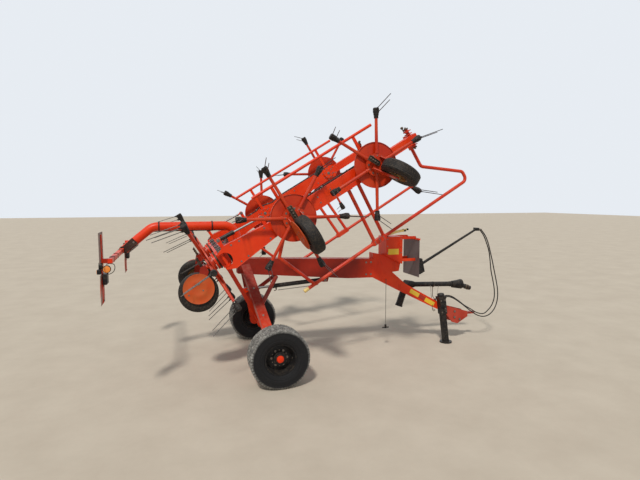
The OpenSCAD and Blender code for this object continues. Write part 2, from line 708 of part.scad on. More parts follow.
module wing_guard(s) {
    strut_d = 50;
    tip_y = wing_tip_y - 30;
    color(DARK_RED) wing(s) {
        translate([0, 0, rail_up])
            flat_tube([[rail_fwd, 660], [rail_fwd, 3590], [840, 3590], [430, tip_y], [150 + seat, tip_y]],
                rail_d, 70);
        difference() {
            for (y = [1850, 2010]) bar([outer_half - 10, y, 0], [rail_fwd, y + 20, rail_up], strut_d);
            translate([0, 1800, -60]) cube([outer_half, 300, 120]);
        }
        for (y = [1850, 2010]) translate([outer_half, y - 45, -45]) cube([8, 90, 90]);
        translate([rail_fwd - 34, 1835, rail_up - 34]) cube([68, 215, 68]);
        difference() {
            tube([[inner_half - 20, 864, -15], [380, 600, 100], [rail_fwd, 830, rail_up]], 44);
            translate([0, 780, -60]) cube([inner_half, 140, 120]);
        }
        translate([inner_half, 794, -50]) cube([8, 90, 90]);
    }
}

// Axes of a fold cylinder: the origin at its pin on the centre frame and Y towards its rod's eye
fold_span = [fold_y - fold_lug[1] - fold_base[0], fold_lug[0] - fold_base[1]];
module fold_axis(s) {
    rotor_beam() on_side(s) translate([0, fold_base[0], fold_base[1]])
        rotate([atan2(fold_span[1], fold_span[0]), 0, 0]) children();
}
module from_to_y(y0, y1, d) { translate([0, y0, 0]) rotate([-90, 0, 0]) cylinder(h = y1 - y0, d = d); }
module fold_barrel(s) {
    color(BLACK) fold_axis(s) difference() {
        union() {
            along_x(52, 2 * (fold_gap - 2));
            from_to_y(15, 50, 44);
            from_to_y(40, fold_barrel_len, fold_barrel_d);
        }
        along_x(fold_pin + 2 * pin_gap, 4 * fold_gap);
        from_to_y(60, fold_barrel_len + 1, fold_rod_d + 2 * pin_gap);
    }
}
module fold_rod(s) {
    l = norm(fold_span);
    color(STEEL) fold_axis(s) {
        from_to_y(64, l - 20, fold_rod_d);
        translate([0, l, 0]) along_x(52, 2 * (fold_gap - 2));
        translate([0, l, 0]) along_x(fold_pin, 2 * (fold_gap - seat));
    }
}

// Angle of a rotor's arms: neighbours are half a step apart, so that their tines mesh
function arm_phase(s, place) = ((place + (s > 0 ? 1 : 0)) % 2) * 180 / arm_count;
module each_arm(s, place) {
    for (k = [0:arm_count - 1]) rotate([0, 0, arm_phase(s, place) + 360 * k / arm_count]) children();
}
module rotor(s, place) {
    color(RED) at_rotor(s, place) {
        difference() {
            union() {
                translate([0, 0, hub_low]) cylinder(h = hub_top - hub_low, r = 96);
                translate([0, 0, -arm_drop - 16]) cylinder(h = 32, r = flange_r);
                translate([0, 0, -arm_drop + 34]) cylinder(h = 5, d = dish_d);
                translate([0, 0, -arm_drop + 22]) difference() {
                    cylinder(h = 14, d = dish_d);
                    translate([0, 0, -1]) cylinder(h = 16, d = dish_d - 10);
                }
            }
            translate([0, 0, hub_low - 1]) cylinder(h = hub_top - hub_low + 2, d = stem_d + 2 * pin_gap);
        }
        each_arm(s, place) translate([0, 0, -arm_drop]) bar([0, 90, 0], [0, arm_reach, 0], arm_d, 0.85 * arm_d);
    }
}
module tines(s, place) {
    holder_d = 84;
    inner = arm_reach - 44;
    outer = arm_reach + 88;
    // Distance of a tine from the rotor's axis, and its length
    pair = [[arm_reach + 12, tine_len - 30], [arm_reach + 72, tine_len]];
    color(BLACK) at_rotor(s, place) each_arm(s, place) translate([0, 0, -arm_drop]) {
        difference() {
            union() {
                from_to_y(inner, outer - 20, holder_d);
                from_to_y(outer - 20, outer, 0.8 * holder_d);
            }
            from_to_y(inner - 1, arm_reach + seat, arm_d + 2 * seat);
        }
        for (t = pair) translate([0, t[0], -holder_d / 4]) rotate([180 + tine_lean, 0, 0])
            cylinder(h = t[1], d = tine_d);
    }
}

module gauge_wheel(s, place) {
    r = gauge_d / 2;
    half = gauge_w / 2;
    bore_r = axle_d / 2 + pin_gap;
    turned = place == 2 ? outer_gauge_turn : 0;
    color(BLACK) at_rotor(s, place) rotate([0, 0, turned]) translate([gauge_fwd, 0, -gauge_drop]) rotate([90, 0, 0])
        rotate_extrude() polygon([
            [bore_r, -half + 4], [40, -half + 4], [46, -30], [104, -22], [108, -half + 20], [118, -half + 14],
            [150, -half], [r - 24, -half + 6], [r, -half + 34], [r, half - 34], [r - 24, half - 6], [150, half],
            [118, half - 14], [108, half - 20], [104, 22], [46, 30], [40, half - 4], [bore_r, half - 4]]);
}

module hose_near() { color(BLACK) carriage() swept(hose_route(carrier_y - 25, hose_ends[0] - 30, 0), hose_d); }
module hose_far() { color(BLACK) carriage() swept(hose_route(carrier_y + 20, hose_ends[1] - 30, 40), hose_d); }
module pull_cord() {
    color(GREY) carriage() swept([for (z = [cord_top:-60:cord_low]) [cord_x, -cord_y, z]], 8);
}
module cord_handle() {
    color(BLACK) carriage() translate([cord_x, -cord_y, cord_low - 60]) {
        cylinder(h = 60 - seat, d = 34);
        translate([0, 0, 12]) along_x(20, 110);
    }
}

chassis_frame();
tow_hitch();
head_box();
front_board();
hose_carrier();
drive_shaft();
shaft_cradle();
stand_sleeve();
stand_leg();
rear_boom();
rear_boards();
rear_lamps();
tip_barrel();
tip_rod();
centre_frame();
centre_stays();
for (side = SIDES) {
    name = side[0];
    s = side[1];
    tyre(s);
    rim(s);
    wing_beam(s);
    wing_guard(s);
    wing_stays(s);
    fold_barrel(s);
    fold_rod(s);
    for (place = PLACES) {
        rotor(s, place);
        tines(s, place);
        gauge_wheel(s, place);
    }
}
hose_near();
hose_far();
pull_cord();
cord_handle();
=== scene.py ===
"""Looks of the hay tedder: materials, camera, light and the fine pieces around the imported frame."""
import json
from math import asin, copysign, cos, pi, radians, sin, sqrt, tau

import bmesh
import bpy
from mathutils import Matrix, Vector


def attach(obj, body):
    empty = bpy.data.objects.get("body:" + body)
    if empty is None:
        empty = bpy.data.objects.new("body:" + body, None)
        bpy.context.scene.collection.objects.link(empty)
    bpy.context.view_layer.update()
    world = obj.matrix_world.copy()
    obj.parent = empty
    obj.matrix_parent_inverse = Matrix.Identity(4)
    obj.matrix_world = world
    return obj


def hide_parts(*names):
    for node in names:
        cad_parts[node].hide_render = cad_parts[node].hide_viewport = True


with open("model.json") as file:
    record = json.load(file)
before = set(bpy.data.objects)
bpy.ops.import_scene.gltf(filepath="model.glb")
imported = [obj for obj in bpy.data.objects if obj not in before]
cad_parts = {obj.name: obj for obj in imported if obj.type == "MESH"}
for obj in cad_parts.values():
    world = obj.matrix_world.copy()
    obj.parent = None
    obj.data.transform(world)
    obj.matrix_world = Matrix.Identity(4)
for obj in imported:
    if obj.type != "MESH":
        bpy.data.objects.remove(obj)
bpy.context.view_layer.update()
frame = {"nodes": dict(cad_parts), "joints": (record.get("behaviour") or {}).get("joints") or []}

NODES = frame["nodes"]
JOINTS = {j["name"]: j for j in frame["joints"]}
SIDES = {"left": 1, "right": -1}
PLACES = (0, 1, 2)
X, Y, Z = Vector((1, 0, 0)), Vector((0, 1, 0)), Vector((0, 0, 1))
FLIP = Matrix.Rotation(pi, 4, "X")


# Directions and places, and what the frame's joints give

def at(*pos):
    return Matrix.Translation(pos)


def polar(r, a, h=0):
    return Vector((r * cos(a), r * sin(a), h))


def angles(count, phase=0.0):
    """Equal steps of a full turn."""
    return [tau * (k + phase) / count for k in range(count)]


def square_to(v, d):
    """Direction of what v has square to the unit vector d."""
    v = Vector(v)
    return (v - d * v.dot(d)).normalized()


def axes(x, y, z, pos=(0, 0, 0)):
    """Matrix with three directions as its axes and its origin at pos."""
    m = Matrix((x, y, z)).transposed().to_4x4()
    m.translation = pos
    return m


def axes_at(pos, z, x):
    """Matrix with its origin at pos, its Z along z and its X as near x as it can be."""
    z = Vector(z).normalized()
    x = square_to(x, z)
    return axes(x, z.cross(x), z, pos)


def joint_pos(name):
    return Vector(JOINTS[name]["pos_m"])


def joint_way(name):
    return Vector(JOINTS[name]["axis"]).normalized()


def joint_axes(name, x):
    return axes_at(joint_pos(name), joint_way(name), x)


BEAM_UP = joint_way("rotor_left_0_spin")
BEAM_FWD = Y.cross(BEAM_UP)
AXLE_X = joint_pos("wheel_left").x


def rotor_name(side, place):
    return f"rotor_{side}_{place}"


def rotor_axes(side, place):
    """A rotor's axes: Z up its axis, X forward, origin at the height of its arms."""
    return joint_axes(rotor_name(side, place) + "_spin", BEAM_FWD)


def wing_axes(side):
    """A wing's axes: origin at its fold pin, X forward, Y outward along the beam, Z to its top."""
    return axes(BEAM_FWD, BEAM_UP, -SIDES[side] * Y, joint_pos(f"wing_{side}_fold"))


def beam_axes():
    """The centre beam's axes: X forward, Y left, Z to its top, origin at its middle."""
    pin = joint_pos("wing_left_fold")
    return axes(BEAM_FWD, Y, BEAM_UP, (pin.x, 0, pin.z))


def carriage(ax, y, z):
    """A point given in metres from the road axle, on the ground."""
    return Vector((AXLE_X + ax, y, z))


# Building meshes

# AXIS is the radius at which the outline of a solid round piece stops, next to its axis
SHARP_ANGLE, AXIS = radians(35), 0.0005


def new_object(name, data):
    obj = bpy.data.objects.new(name, data)
    bpy.context.scene.collection.objects.link(obj)
    return obj


class Shape:
    """Collects solids in one mesh, in the frame's metres."""

    def __init__(self):
        self.bm = bmesh.new()

    def grid(self, rings, close_loop=False):
        """Skin over rings of points, all of one length, closed by its ends or into a loop."""
        rows = [[self.bm.verts.new(p) for p in ring] for ring in rings]
        count = len(rows[0])
        for a, b in zip(rows, rows[1:] + rows[:1] if close_loop else rows[1:]):
            for k in range(count):
                n = (k + 1) % count
                self.bm.faces.new((a[k], a[n], b[n], b[k]))
        if not close_loop:
            self.bm.faces.new(rows[0][::-1])
            self.bm.faces.new(rows[-1])

    def tube(self, points, radius, sides=12):
        """Round tube along a line; radius is a number, or a list with one for each point."""
        points = [Vector(p) for p in points]
        radii = radius if isinstance(radius, list) else [radius] * len(points)
        ways = [(b - a).normalized() for a, b in zip(points, points[1:])]
        heads = [(a + b).normalized() for a, b in zip([Vector()] + ways, ways + [Vector()])]
        side = heads[0].orthogonal().normalized()
        rings = []
        for p, d, r in zip(points, heads, radii):
            side = square_to(side, d)
            other = d.cross(side)
            rings.append([p + r * (cos(a) * side + sin(a) * other) for a in angles(sides)])
        self.grid(rings)

    def lathe(self, m, profile, steps=48):
        """Turns a closed outline of (radius, height) about the Z of m."""
        self.grid([[m @ polar(r, a, h) for r, h in profile] for a in angles(steps)], close_loop=True)

    def ring(self, m, inner, outer, low, high, steps, slope=0.0):
        """Hoop about the Z of m, whose end faces fall by slope towards its outside."""
        self.lathe(m, [(inner, low), (outer, low + slope), (outer, high - slope), (inner, high)], steps)

    def drum(self, m, r, z0, z1, steps=24, bevel=0.0):
        """Solid round piece along the Z of m, with a bevel at its upper end."""
        rings = [(r, z0), (r, z1 - bevel), (r - bevel, z1)] if bevel else [(r, z0), (r, z1)]
        self.grid([[m @ polar(q, a, h) for a in angles(steps)] for q, h in rings])

    def box(self, m, size, bevel=0.0):
        """Box centred on m, with chamfered edges along its Z."""
        hx, hy, hz = (0.5 * s for s in size)
        b = min(bevel, 0.45 * min(size))
        outline = [(hx, -hy), (hx, hy), (-hx, hy), (-hx, -hy)]
        if b:
            outline = [(hx - b, -hy), (hx, -hy + b), (hx, hy - b), (hx - b, hy),
                       (-hx + b, hy), (-hx, hy - b), (-hx, -hy + b), (-hx + b, -hy)]
        self.prism(m, outline, -hz, hz)

    def prism(self, m, outline, z0, z1):
        """Solid between two copies of an outline in the XY plane of m."""
        self.grid([[m @ Vector((x, y, h)) for x, y in outline] for h in (z0, z1)])

    def bolt(self, m, r):
        """Washer and six-sided head along the Z of m."""
        self.drum(m, 1.55 * r, 0, 0.25 * r, 16)
        self.drum(m, r, 0.2 * r, 1.0 * r, 6, 0.12 * r)

    def bolt_circle(self, m, circle_r, count, r, phase=0.0):
        for a in angles(count, phase):
            self.bolt(m @ at(*polar(circle_r, a)), r)

    def piece(self, name, look, body="carriage", slot="paint"):
        """Ends the mesh as one object that rides on a body."""
        bmesh.ops.recalc_face_normals(self.bm, faces=self.bm.faces)
        mesh = bpy.data.meshes.new(name)
        self.bm.to_mesh(mesh)
        self.bm.free()
        mesh.shade_smooth()
        mesh.set_sharp_from_angle(angle=SHARP_ANGLE)
        mesh.materials.append(LOOKS[look])
        obj = new_object(name, mesh)
        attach(obj, body)
        return obj


def shapes(count):
    return [Shape() for _ in range(count)]


def smooth_line(points, steps=6):
    """Catmull-Rom curve through points."""
    pts = [Vector(p) for p in points]
    pts = [2 * pts[0] - pts[1]] + pts + [2 * pts[-1] - pts[-2]]
    out = []
    for i in range(1, len(pts) - 2):
        a, b, c, d = pts[i - 1:i + 3]
        for k in range(steps):
            t = k / steps
            out.append(0.5 * (2 * b + (c - a) * t + (2 * a - 5 * b + 4 * c - d) * t * t
                              + (3 * b - a - 3 * c + d) * t ** 3))
    out.append(pts[-2])
    return out


# Materials

class Nodes:
    """Short calls for the nodes of one tree."""

    def __init__(self, tree):
        self.tree = tree

    def put(self, socket, value):
        """Links an output to a socket, or sets its constant value."""
        if isinstance(value, bpy.types.NodeSocket):
            self.tree.links.new(value, socket)
        else:
            socket.default_value = (*value, 1) if socket.type == "RGBA" else value

    def node(self, kind, **values):
        """Adds a node; the values go to the inputs of those names, with _ for a space."""
        node = self.tree.nodes.new("ShaderNode" + kind)
        for name, value in values.items():
            self.put(node.inputs[name.replace("_", " ")], value)
        return node

    def math(self, kind, a, b=None):
        node = self.node("Math")
        node.operation = kind
        self.put(node.inputs[0], a)
        if b is not None:
            self.put(node.inputs[1], b)
        return node.outputs["Value"]


class Look(Nodes):
    """A material around one Principled shader."""

    def __init__(self, name, metallic=0.0, gloss=0.5):
        self.material = bpy.data.materials.new(name)
        self.material.use_nodes = True
        super().__init__(self.material.node_tree)
        self.shader = self.tree.nodes["Principled BSDF"].inputs
        self.put(self.shader["Metallic"], metallic)
        self.put(self.shader["Specular IOR Level"], gloss)
        self.coords = self.node("TexCoord").outputs["Object"]

    def plus(self, a, b):
        return self.math("ADD", a, b)

    def times(self, a, b):
        return self.math("MULTIPLY", a, b)

    def noise(self, scale, detail=4.0, rough=0.55, stretch=None):
        node = self.node("TexNoise", Scale=scale, Detail=detail, Roughness=rough)
        source = self.coords
        if stretch:
            source = self.node("Mapping", Scale=stretch, Vector=source).outputs["Vector"]
        self.put(node.inputs["Vector"], source)
        return node.outputs["Fac"]

    def step(self, value, low, high, top=1.0):
        """Maps value from low..high to 0..top, held at both ends."""
        return self.node("MapRange", From_Min=low, From_Max=high, To_Max=top, Value=value).outputs["Result"]

    def mix(self, factor, a, b):
        node = self.node("Mix")
        node.data_type = "RGBA"
        for index, value in ((0, factor), (6, a), (7, b)):
            self.put(node.inputs[index], value)
        return node.outputs[2]

    def up(self):
        """How far the surface faces up, from -1 to 1."""
        normal = self.node("NewGeometry").outputs["Normal"]
        return self.node("SeparateXYZ", Vector=normal).outputs["Z"]

    def place(self, axis):
        return self.node("SeparateXYZ", Vector=self.coords).outputs[axis]

    def bump(self, height, strength):
        node = self.node("Bump", Strength=strength, Distance=0.002, Height=height)
        self.put(self.shader["Normal"], node.outputs["Normal"])

    def finish(self, color, rough):
        self.put(self.shader["Base Color"], color)
        self.put(self.shader["Roughness"], rough)
        return self.material


DUST = (0.4, 0.3, 0.2)
RUST = (0.13, 0.045, 0.02)


def paint(name, base, faded, wear=0.5, dust=0.5, unshaded_pair=None):
    """Gloss paint with sun-faded clouds, chips down to rust, and dust on what faces up.

    An optional second pair of colours is the paint's own orange, for the drawbar and the lower ends of the legs;
    elsewhere the carriage's base pair is a painted shade of it.
    """
    look = Look(name, gloss=0.28)
    clouds = look.step(look.noise(3.5, 5), 0.38, 0.68)
    color = look.mix(clouds, base, faded)
    if unshaded_pair:
        # Painted shade: away from the drawbar and the legs' lower ends the carriage keeps a darker red that stands
        # in for the wings' shadow on the main beam
        ahead = look.step(look.place("X"), AXLE_X + 1.45, AXLE_X + 1.75)
        low = look.step(look.times(look.place("Z"), -1), -0.95, -0.6)
        color = look.mix(look.math("MAXIMUM", ahead, low), color, look.mix(clouds, *unshaded_pair))
    streaks = look.step(look.noise(9, 8, 0.7, (1, 1, 0.25)), 0.56, 0.74, 0.75 * wear)
    color = look.mix(streaks, color, tuple(0.42 * c for c in base))
    fine = look.noise(70, 6, 0.7)
    chips = look.step(fine, 0.665, 0.69, wear)
    color = look.mix(chips, color, RUST)
    grit = look.step(look.noise(24, 7, 0.7), 0.42, 0.7, dust)
    lying = look.times(look.step(look.up(), 0.2, 0.95), grit)
    film = look.plus(lying, look.step(look.noise(6, 6, 0.65), 0.55, 0.95, 0.22 * dust))
    color = look.mix(film, color, DUST)
    rough = look.plus(look.step(clouds, 0, 1, 0.16), look.plus(look.times(film, 0.6), 0.3))
    look.bump(fine, 0.12)
    return look.finish(color, rough)


def dark(name, base, dusty=0.5, rough=0.5, scale=30.0):
    """Black paint, plastic or rubber with a dust film."""
    look = Look(name, gloss=0.25)
    grain = look.noise(scale, 7, 0.65)
    film = look.step(grain, 0.45, 0.78, dusty)
    lying = look.times(look.step(look.up(), 0.1, 0.95, 0.45 * dusty), grain)
    color = look.mix(look.plus(film, lying), base, DUST)
    look.bump(grain, 0.2)
    return look.finish(color, look.plus(look.times(film, 0.4), rough))


TREAD_DUST = (0.345, 0.372)


def tyre_look(side):
    """Black side walls, and a tread whose lands are pale with dust between the radii of TREAD_DUST."""
    look = Look(f"road_tyre_{side}", gloss=0.2)
    grain = look.noise(55, 8, 0.7)
    pos = joint_pos(f"wheel_{side}")
    off_x = look.math("SUBTRACT", look.place("X"), pos.x)
    off_z = look.math("SUBTRACT", look.place("Z"), pos.z)
    land = look.step(look.math("SQRT", look.plus(look.times(off_x, off_x), look.times(off_z, off_z))), *TREAD_DUST)
    patches = look.step(look.noise(14, 6, 0.7), 0.3, 0.62)
    lump = look.step(look.noise(38, 3, 0.5), 0.4, 0.52)
    patches = look.times(patches, look.plus(look.times(lump, 0.6), 0.4))
    dusty = look.times(land, look.plus(look.times(patches, 0.75), 0.15))
    wall = look.mix(look.step(grain, 0.5, 0.85, 0.18), (0.011, 0.011, 0.012), (0.1, 0.09, 0.08))
    color = look.mix(dusty, wall, (0.4, 0.39, 0.36))
    look.bump(grain, 0.35)
    return look.finish(color, 0.72)


def metal(name, base, rough=0.3, stain=0.3):
    look = Look(name, metallic=1.0)
    grain = look.noise(40, 6, 0.6, (1, 1, 6))
    color = look.mix(look.step(grain, 0.5, 0.8, stain), base, (0.16, 0.11, 0.07))
    look.bump(grain, 0.08)
    return look.finish(color, look.plus(look.step(grain, 0.2, 0.9, 0.25), rough))


def boards_look(name):
    """Board: faded red and white slants low down, darker grey-brown above."""
    look = Look(name)
    slant = look.plus(look.place("Z"), look.math("ABSOLUTE", look.place("Y")))
    band = look.math("FRACT", look.times(slant, 3.4))
    stripe = look.math("GREATER_THAN", band, 0.5)
    faded = look.mix(stripe, (0.55, 0.1, 0.05), (0.52, 0.42, 0.36))
    grime = look.noise(18, 8, 0.7)
    faded = look.mix(look.step(grime, 0.4, 0.72, 0.55), faded, (0.2, 0.13, 0.09))
    top = look.step(look.place("Z"), 1.62, 1.66)
    upper_grey = look.mix(look.step(grime, 0.3, 0.7), (0.19, 0.15, 0.13), (0.36, 0.3, 0.26))
    look.bump(grime, 0.2)
    return look.finish(look.mix(top, faded, upper_grey), 0.6)


def amber_look(name):
    look = Look(name)
    cells = look.noise(160, 2)
    look.put(look.shader["Coat Weight"], 0.6)
    look.bump(cells, 0.5)
    return look.finish(look.mix(look.step(cells, 0.4, 0.6), (0.85, 0.2, 0.01), (0.9, 0.32, 0.03)), 0.25)


ORANGE, ORANGE_FADED = (0.72, 0.032, 0.003), (0.76, 0.052, 0.007)
# Painted shade: the carriage's dark red stands in for the shadow of the wings on its main beam; its real paint is
# the orange of the drawbar
SHADED_RED, SHADED_RED_FADED = (0.23, 0.012, 0.004), (0.34, 0.02, 0.007)
LOOKS = {
    "paint": paint("wing_paint", ORANGE, ORANGE_FADED, 0.4, 0.16),
    # Painted shade: this paint's dark red base is shade painted onto the orange paint of the carriage
    "carriage": paint("carriage_shaded_paint", SHADED_RED, SHADED_RED_FADED, 0.55, 0.3, (ORANGE, ORANGE_FADED)),
    "bar": paint("head_paint", (0.66, 0.028, 0.003), (0.72, 0.05, 0.008), 0.45, 0.2),
    "hitch": paint("hitch_paint", (0.36, 0.028, 0.014), (0.46, 0.055, 0.03), 0.75, 0.45),
    "rail": paint("rail_paint", (0.56, 0.026, 0.005), (0.66, 0.062, 0.02), 0.6, 0.22),
    # Painted shade: the rotors' red is darker than the wings' orange to stand in for the shade the wing beams cast
    # on them; the wings' stays and the fork welds share it
    "rotor": paint("rotor_paint", (0.48, 0.026, 0.005), (0.58, 0.055, 0.014), 0.75, 0.3),
    "disc": paint("disc_paint", (0.56, 0.06, 0.008), (0.5, 0.11, 0.028), 1.0, 0.45),
    "black": dark("black_paint", (0.009, 0.009, 0.01), 0.14, 0.42),
    "grey": dark("grey_sheet", (0.14, 0.118, 0.12), 0.15, 0.5, 9.0),
    "boot": dark("tine_boot", (0.009, 0.009, 0.01), 0.14, 0.55, 60.0),
    "hose": dark("hose_rubber", (0.01, 0.01, 0.011), 0.12, 0.42, 80.0),
    "rim": dark("rim_paint", (0.008, 0.008, 0.009), 0.1, 0.5),
    "ochre": paint("gauge_rim_paint", (0.16, 0.085, 0.03), (0.3, 0.17, 0.06), 0.9, 0.7),
    "wall": dark("gauge_tyre", (0.012, 0.011, 0.011), 0.16, 0.6, 45.0),
    "steel": metal("bare_steel", (0.26, 0.255, 0.25), 0.4, 0.3),
    "spring": metal("tine_steel", (0.1, 0.095, 0.09), 0.34, 0.5),
    "bolt": metal("bolt_steel", (0.24, 0.21, 0.185), 0.34, 0.7),
    "cast": dark("greasy_iron", (0.04, 0.026, 0.018), 0.5, 0.5),
    "iron": dark("boom_iron", (0.034, 0.014, 0.01), 0.16, 0.55, 22.0),
    "yellow": paint("plain_patch", (0.8, 0.5, 0.02), (0.78, 0.54, 0.08), 0.35, 0.25),
    "lever": paint("lever_paint", (0.78, 0.56, 0.16), (0.74, 0.6, 0.3), 0.35, 0.3),
    "board": boards_look("board_faces"),
    "cord": dark("cord_braid", (0.1, 0.095, 0.085), 0.4, 0.8),
    "amber": amber_look("amber_lens"),
    "tyre_left": tyre_look("left"),
    "tyre_right": tyre_look("right"),
}

NODE_LOOKS = {
    "chassis_frame": "carriage", "tow_hitch": "hitch", "head_box": "bar", "front_board": "grey",
    "hose_carrier": "black", "drive_shaft": "black", "shaft_cradle": "bolt", "stand_sleeve": "black",
    "stand_leg": "black", "rear_boom": "paint", "rear_boards": "board", "rear_lamps": "black",
    "tip_barrel": "black", "tip_rod": "steel", "centre_frame": "paint", "centre_stays": "carriage",
}
SIDE_LOOKS = {"rim": "rim", "wing_beam": "paint", "wing_guard": "rail", "wing_stays": "rotor",
              "fold_barrel": "black", "fold_rod": "steel"}


def dress_nodes():
    """Gives every CAD node that stays its material."""
    names = dict(NODE_LOOKS)
    for side in SIDES:
        names.update({f"{node}_{side}": look for node, look in SIDE_LOOKS.items()})
        names.update({rotor_name(side, place): "rotor" for place in PLACES})
    for name, look in names.items():
        for material_slot in NODES[name].material_slots:
            material_slot.material = LOOKS[look]


# Camera, light and floor

CAMERA_FROM_AXLE = (-1.1754, -6.7554, 2.3904)
CAMERA_TILT, CAMERA_TURN = 84.93, -17.0
IMAGE_WIDTH, FOCAL_PIXELS, SENSOR = 640, 462.0, 36.0


def add_camera():
    data = bpy.data.cameras.new("camera")
    data.sensor_width = SENSOR
    data.lens = SENSOR * FOCAL_PIXELS / IMAGE_WIDTH
    data.clip_end = 200
    camera = new_object("camera", data)
    camera.location = carriage(*CAMERA_FROM_AXLE)
    camera.rotation_euler = (radians(CAMERA_TILT), 0, radians(CAMERA_TURN))
    bpy.context.scene.camera = camera


SKY, SKY_STRENGTH, BACKDROP = (0.9, 0.95, 1.0), 0.46, (0.8, 0.84, 0.89)
SUN, SUN_STRENGTH, SUN_SPREAD, SUN_TURN = (1.0, 0.96, 0.9), 2.3, 6, (38, -16, -10)


def add_light():
    """Soft light from all round, a paler backdrop for the camera, and a sun from its front left."""
    world = bpy.data.worlds.new("studio")
    bpy.context.scene.world = world
    world.use_nodes = True
    nodes = Nodes(world.node_tree)
    soft = nodes.tree.nodes["Background"]
    nodes.put(soft.inputs["Color"], SKY)
    nodes.put(soft.inputs["Strength"], SKY_STRENGTH)
    seen = nodes.node("Background", Color=BACKDROP)
    path = nodes.node("LightPath").outputs
    sharp = nodes.math("MAXIMUM", path["Is Camera Ray"], path["Is Glossy Ray"])
    mix = nodes.node("MixShader", Fac=sharp)
    nodes.put(mix.inputs[1], soft.outputs["Background"])
    nodes.put(mix.inputs[2], seen.outputs["Background"])
    nodes.put(nodes.tree.nodes["World Output"].inputs["Surface"], mix.outputs["Shader"])
    sun = bpy.data.lights.new("sun", "SUN")
    sun.energy = SUN_STRENGTH
    sun.angle = radians(SUN_SPREAD)
    sun.color = SUN
    new_object("sun", sun).rotation_euler = [radians(a) for a in SUN_TURN]
    bpy.context.scene.view_settings.view_transform = "Standard"


FLOOR_REACH = 60


def add_floor():
    look = Look("floor_chalk")
    grain = look.noise(1.4, 8, 0.65)
    color = look.mix(look.step(grain, 0.3, 0.75), (0.52, 0.45, 0.36), (0.6, 0.53, 0.43))
    look.bump(look.noise(60, 5), 0.15)
    mesh = bpy.data.meshes.new("floor")
    corners = [(FLOOR_REACH * x, FLOOR_REACH * y, 0) for x, y in ((-1, -1), (1, -1), (1, 1), (-1, 1))]
    mesh.from_pydata(corners, [], [(0, 1, 2, 3)])
    mesh.materials.append(look.finish(color, 0.9))
    floor = new_object("floor", mesh)


# Free hoses and the pull cord, on the routes of part.scad

MM = 0.001
CARRIER_TIP_X = 3644
HOSE_D, CORD_D = 0.018, 0.008


def hose_route(start, y, inner):
    points = [(CARRIER_TIP_X + 22.5, start, 1882), (3720, start, 1868), (3800, start - 5, 1770),
              (3860, start - 10, 1640), (3915, y, 1490), (3965 - inner / 2, y, 1320), (4010 - inner, y, 1150),
              (4055 - inner, y, 980), (4090 - inner, y, 810), (4090 - inner, y, 650 + inner / 2),
              (4040 - inner, y, 500 + inner), (3940 - inner, y, 400 + inner), (3820, y, 370 + inner),
              (3700, y, 400 + inner), (3580, y, 470 + inner), (3460, y + 5, 560 + inner / 2),
              (3340, y + 15, 650 + inner / 2), (3220, y + 25, 725 + inner / 2), (3120, y + 30, 755 + inner / 3),
              (3060, y + 30, 740 + inner / 4), (3034, y + 30, 705), (3030, y + 30, 675), (3030, y + 30, 645)]
    return [carriage(x * MM, y * MM, z * MM) for x, y, z in points]


def add_hoses():
    for name, start, y, inner in (("hose_near", -85, -85, 0), ("hose_far", -40, -50, 40)):
        line = smooth_line(hose_route(start, y, inner), 5)
        shape = Shape()
        shape.tube(line, HOSE_D / 2, 14)
        hose = shape.piece(name + "_rubber", "hose", "carriage", "hose")
        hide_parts(name)
        ferrules = Shape()
        for a, b in ((line[0], line[2]), (line[-1], line[-3])):
            d = (b - a).normalized()
            ferrules.tube([a, a + 0.045 * d], 0.0125, 12)
            ferrules.tube([a + 0.045 * d, a + 0.06 * d], 0.0105, 6)
        fittings = ferrules.piece(name + "_fittings", "bolt", slot="black_steel")


CORD_TOP, CORD_LOW, CORD_X, CORD_Y = 1100, 380, 1965, -90


def add_pull_cord():
    line = [carriage(CORD_X * MM, CORD_Y * MM, z * MM) for z in range(CORD_TOP, CORD_LOW - 1, -60)]
    shape = Shape()
    shape.tube(line, CORD_D / 2, 10)
    cord = shape.piece("pull_cord_braid", "cord", "carriage", "cord")
    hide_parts("pull_cord")
    NODES["cord_handle"].material_slots[0].material = LOOKS["black"]


# Road wheels

TYRE_R, TYRE_W, RIM_R, SHOULDER = 0.385, 0.34, 0.203, 0.045
TREAD_BLOCKS, TREAD_DEPTH, TREAD_STEPS, TREAD_COLUMNS = 30, 0.011, 360, 34


def both_faces(profile, tread=()):
    """Outline of a wheel that is the same on both faces, around its tread."""
    return [*profile, *tread] + [(r, -h) for r, h in reversed(profile)]


def groove(turn, across):
    """Depth of the tread at a place: slanted blocks, open towards the shoulders."""
    pitch = turn * TREAD_BLOCKS
    if abs(across) < 0.06:
        cut = pitch % 1.0 < 0.3
    elif abs(across) > 0.8:
        cut = 2 * pitch % 1.0 < 0.38
    else:
        cut = min((pitch + 1.6 * across) % 1.0, (pitch - 1.6 * across) % 1.0) < 0.26
    return TREAD_DEPTH if cut else 0.0


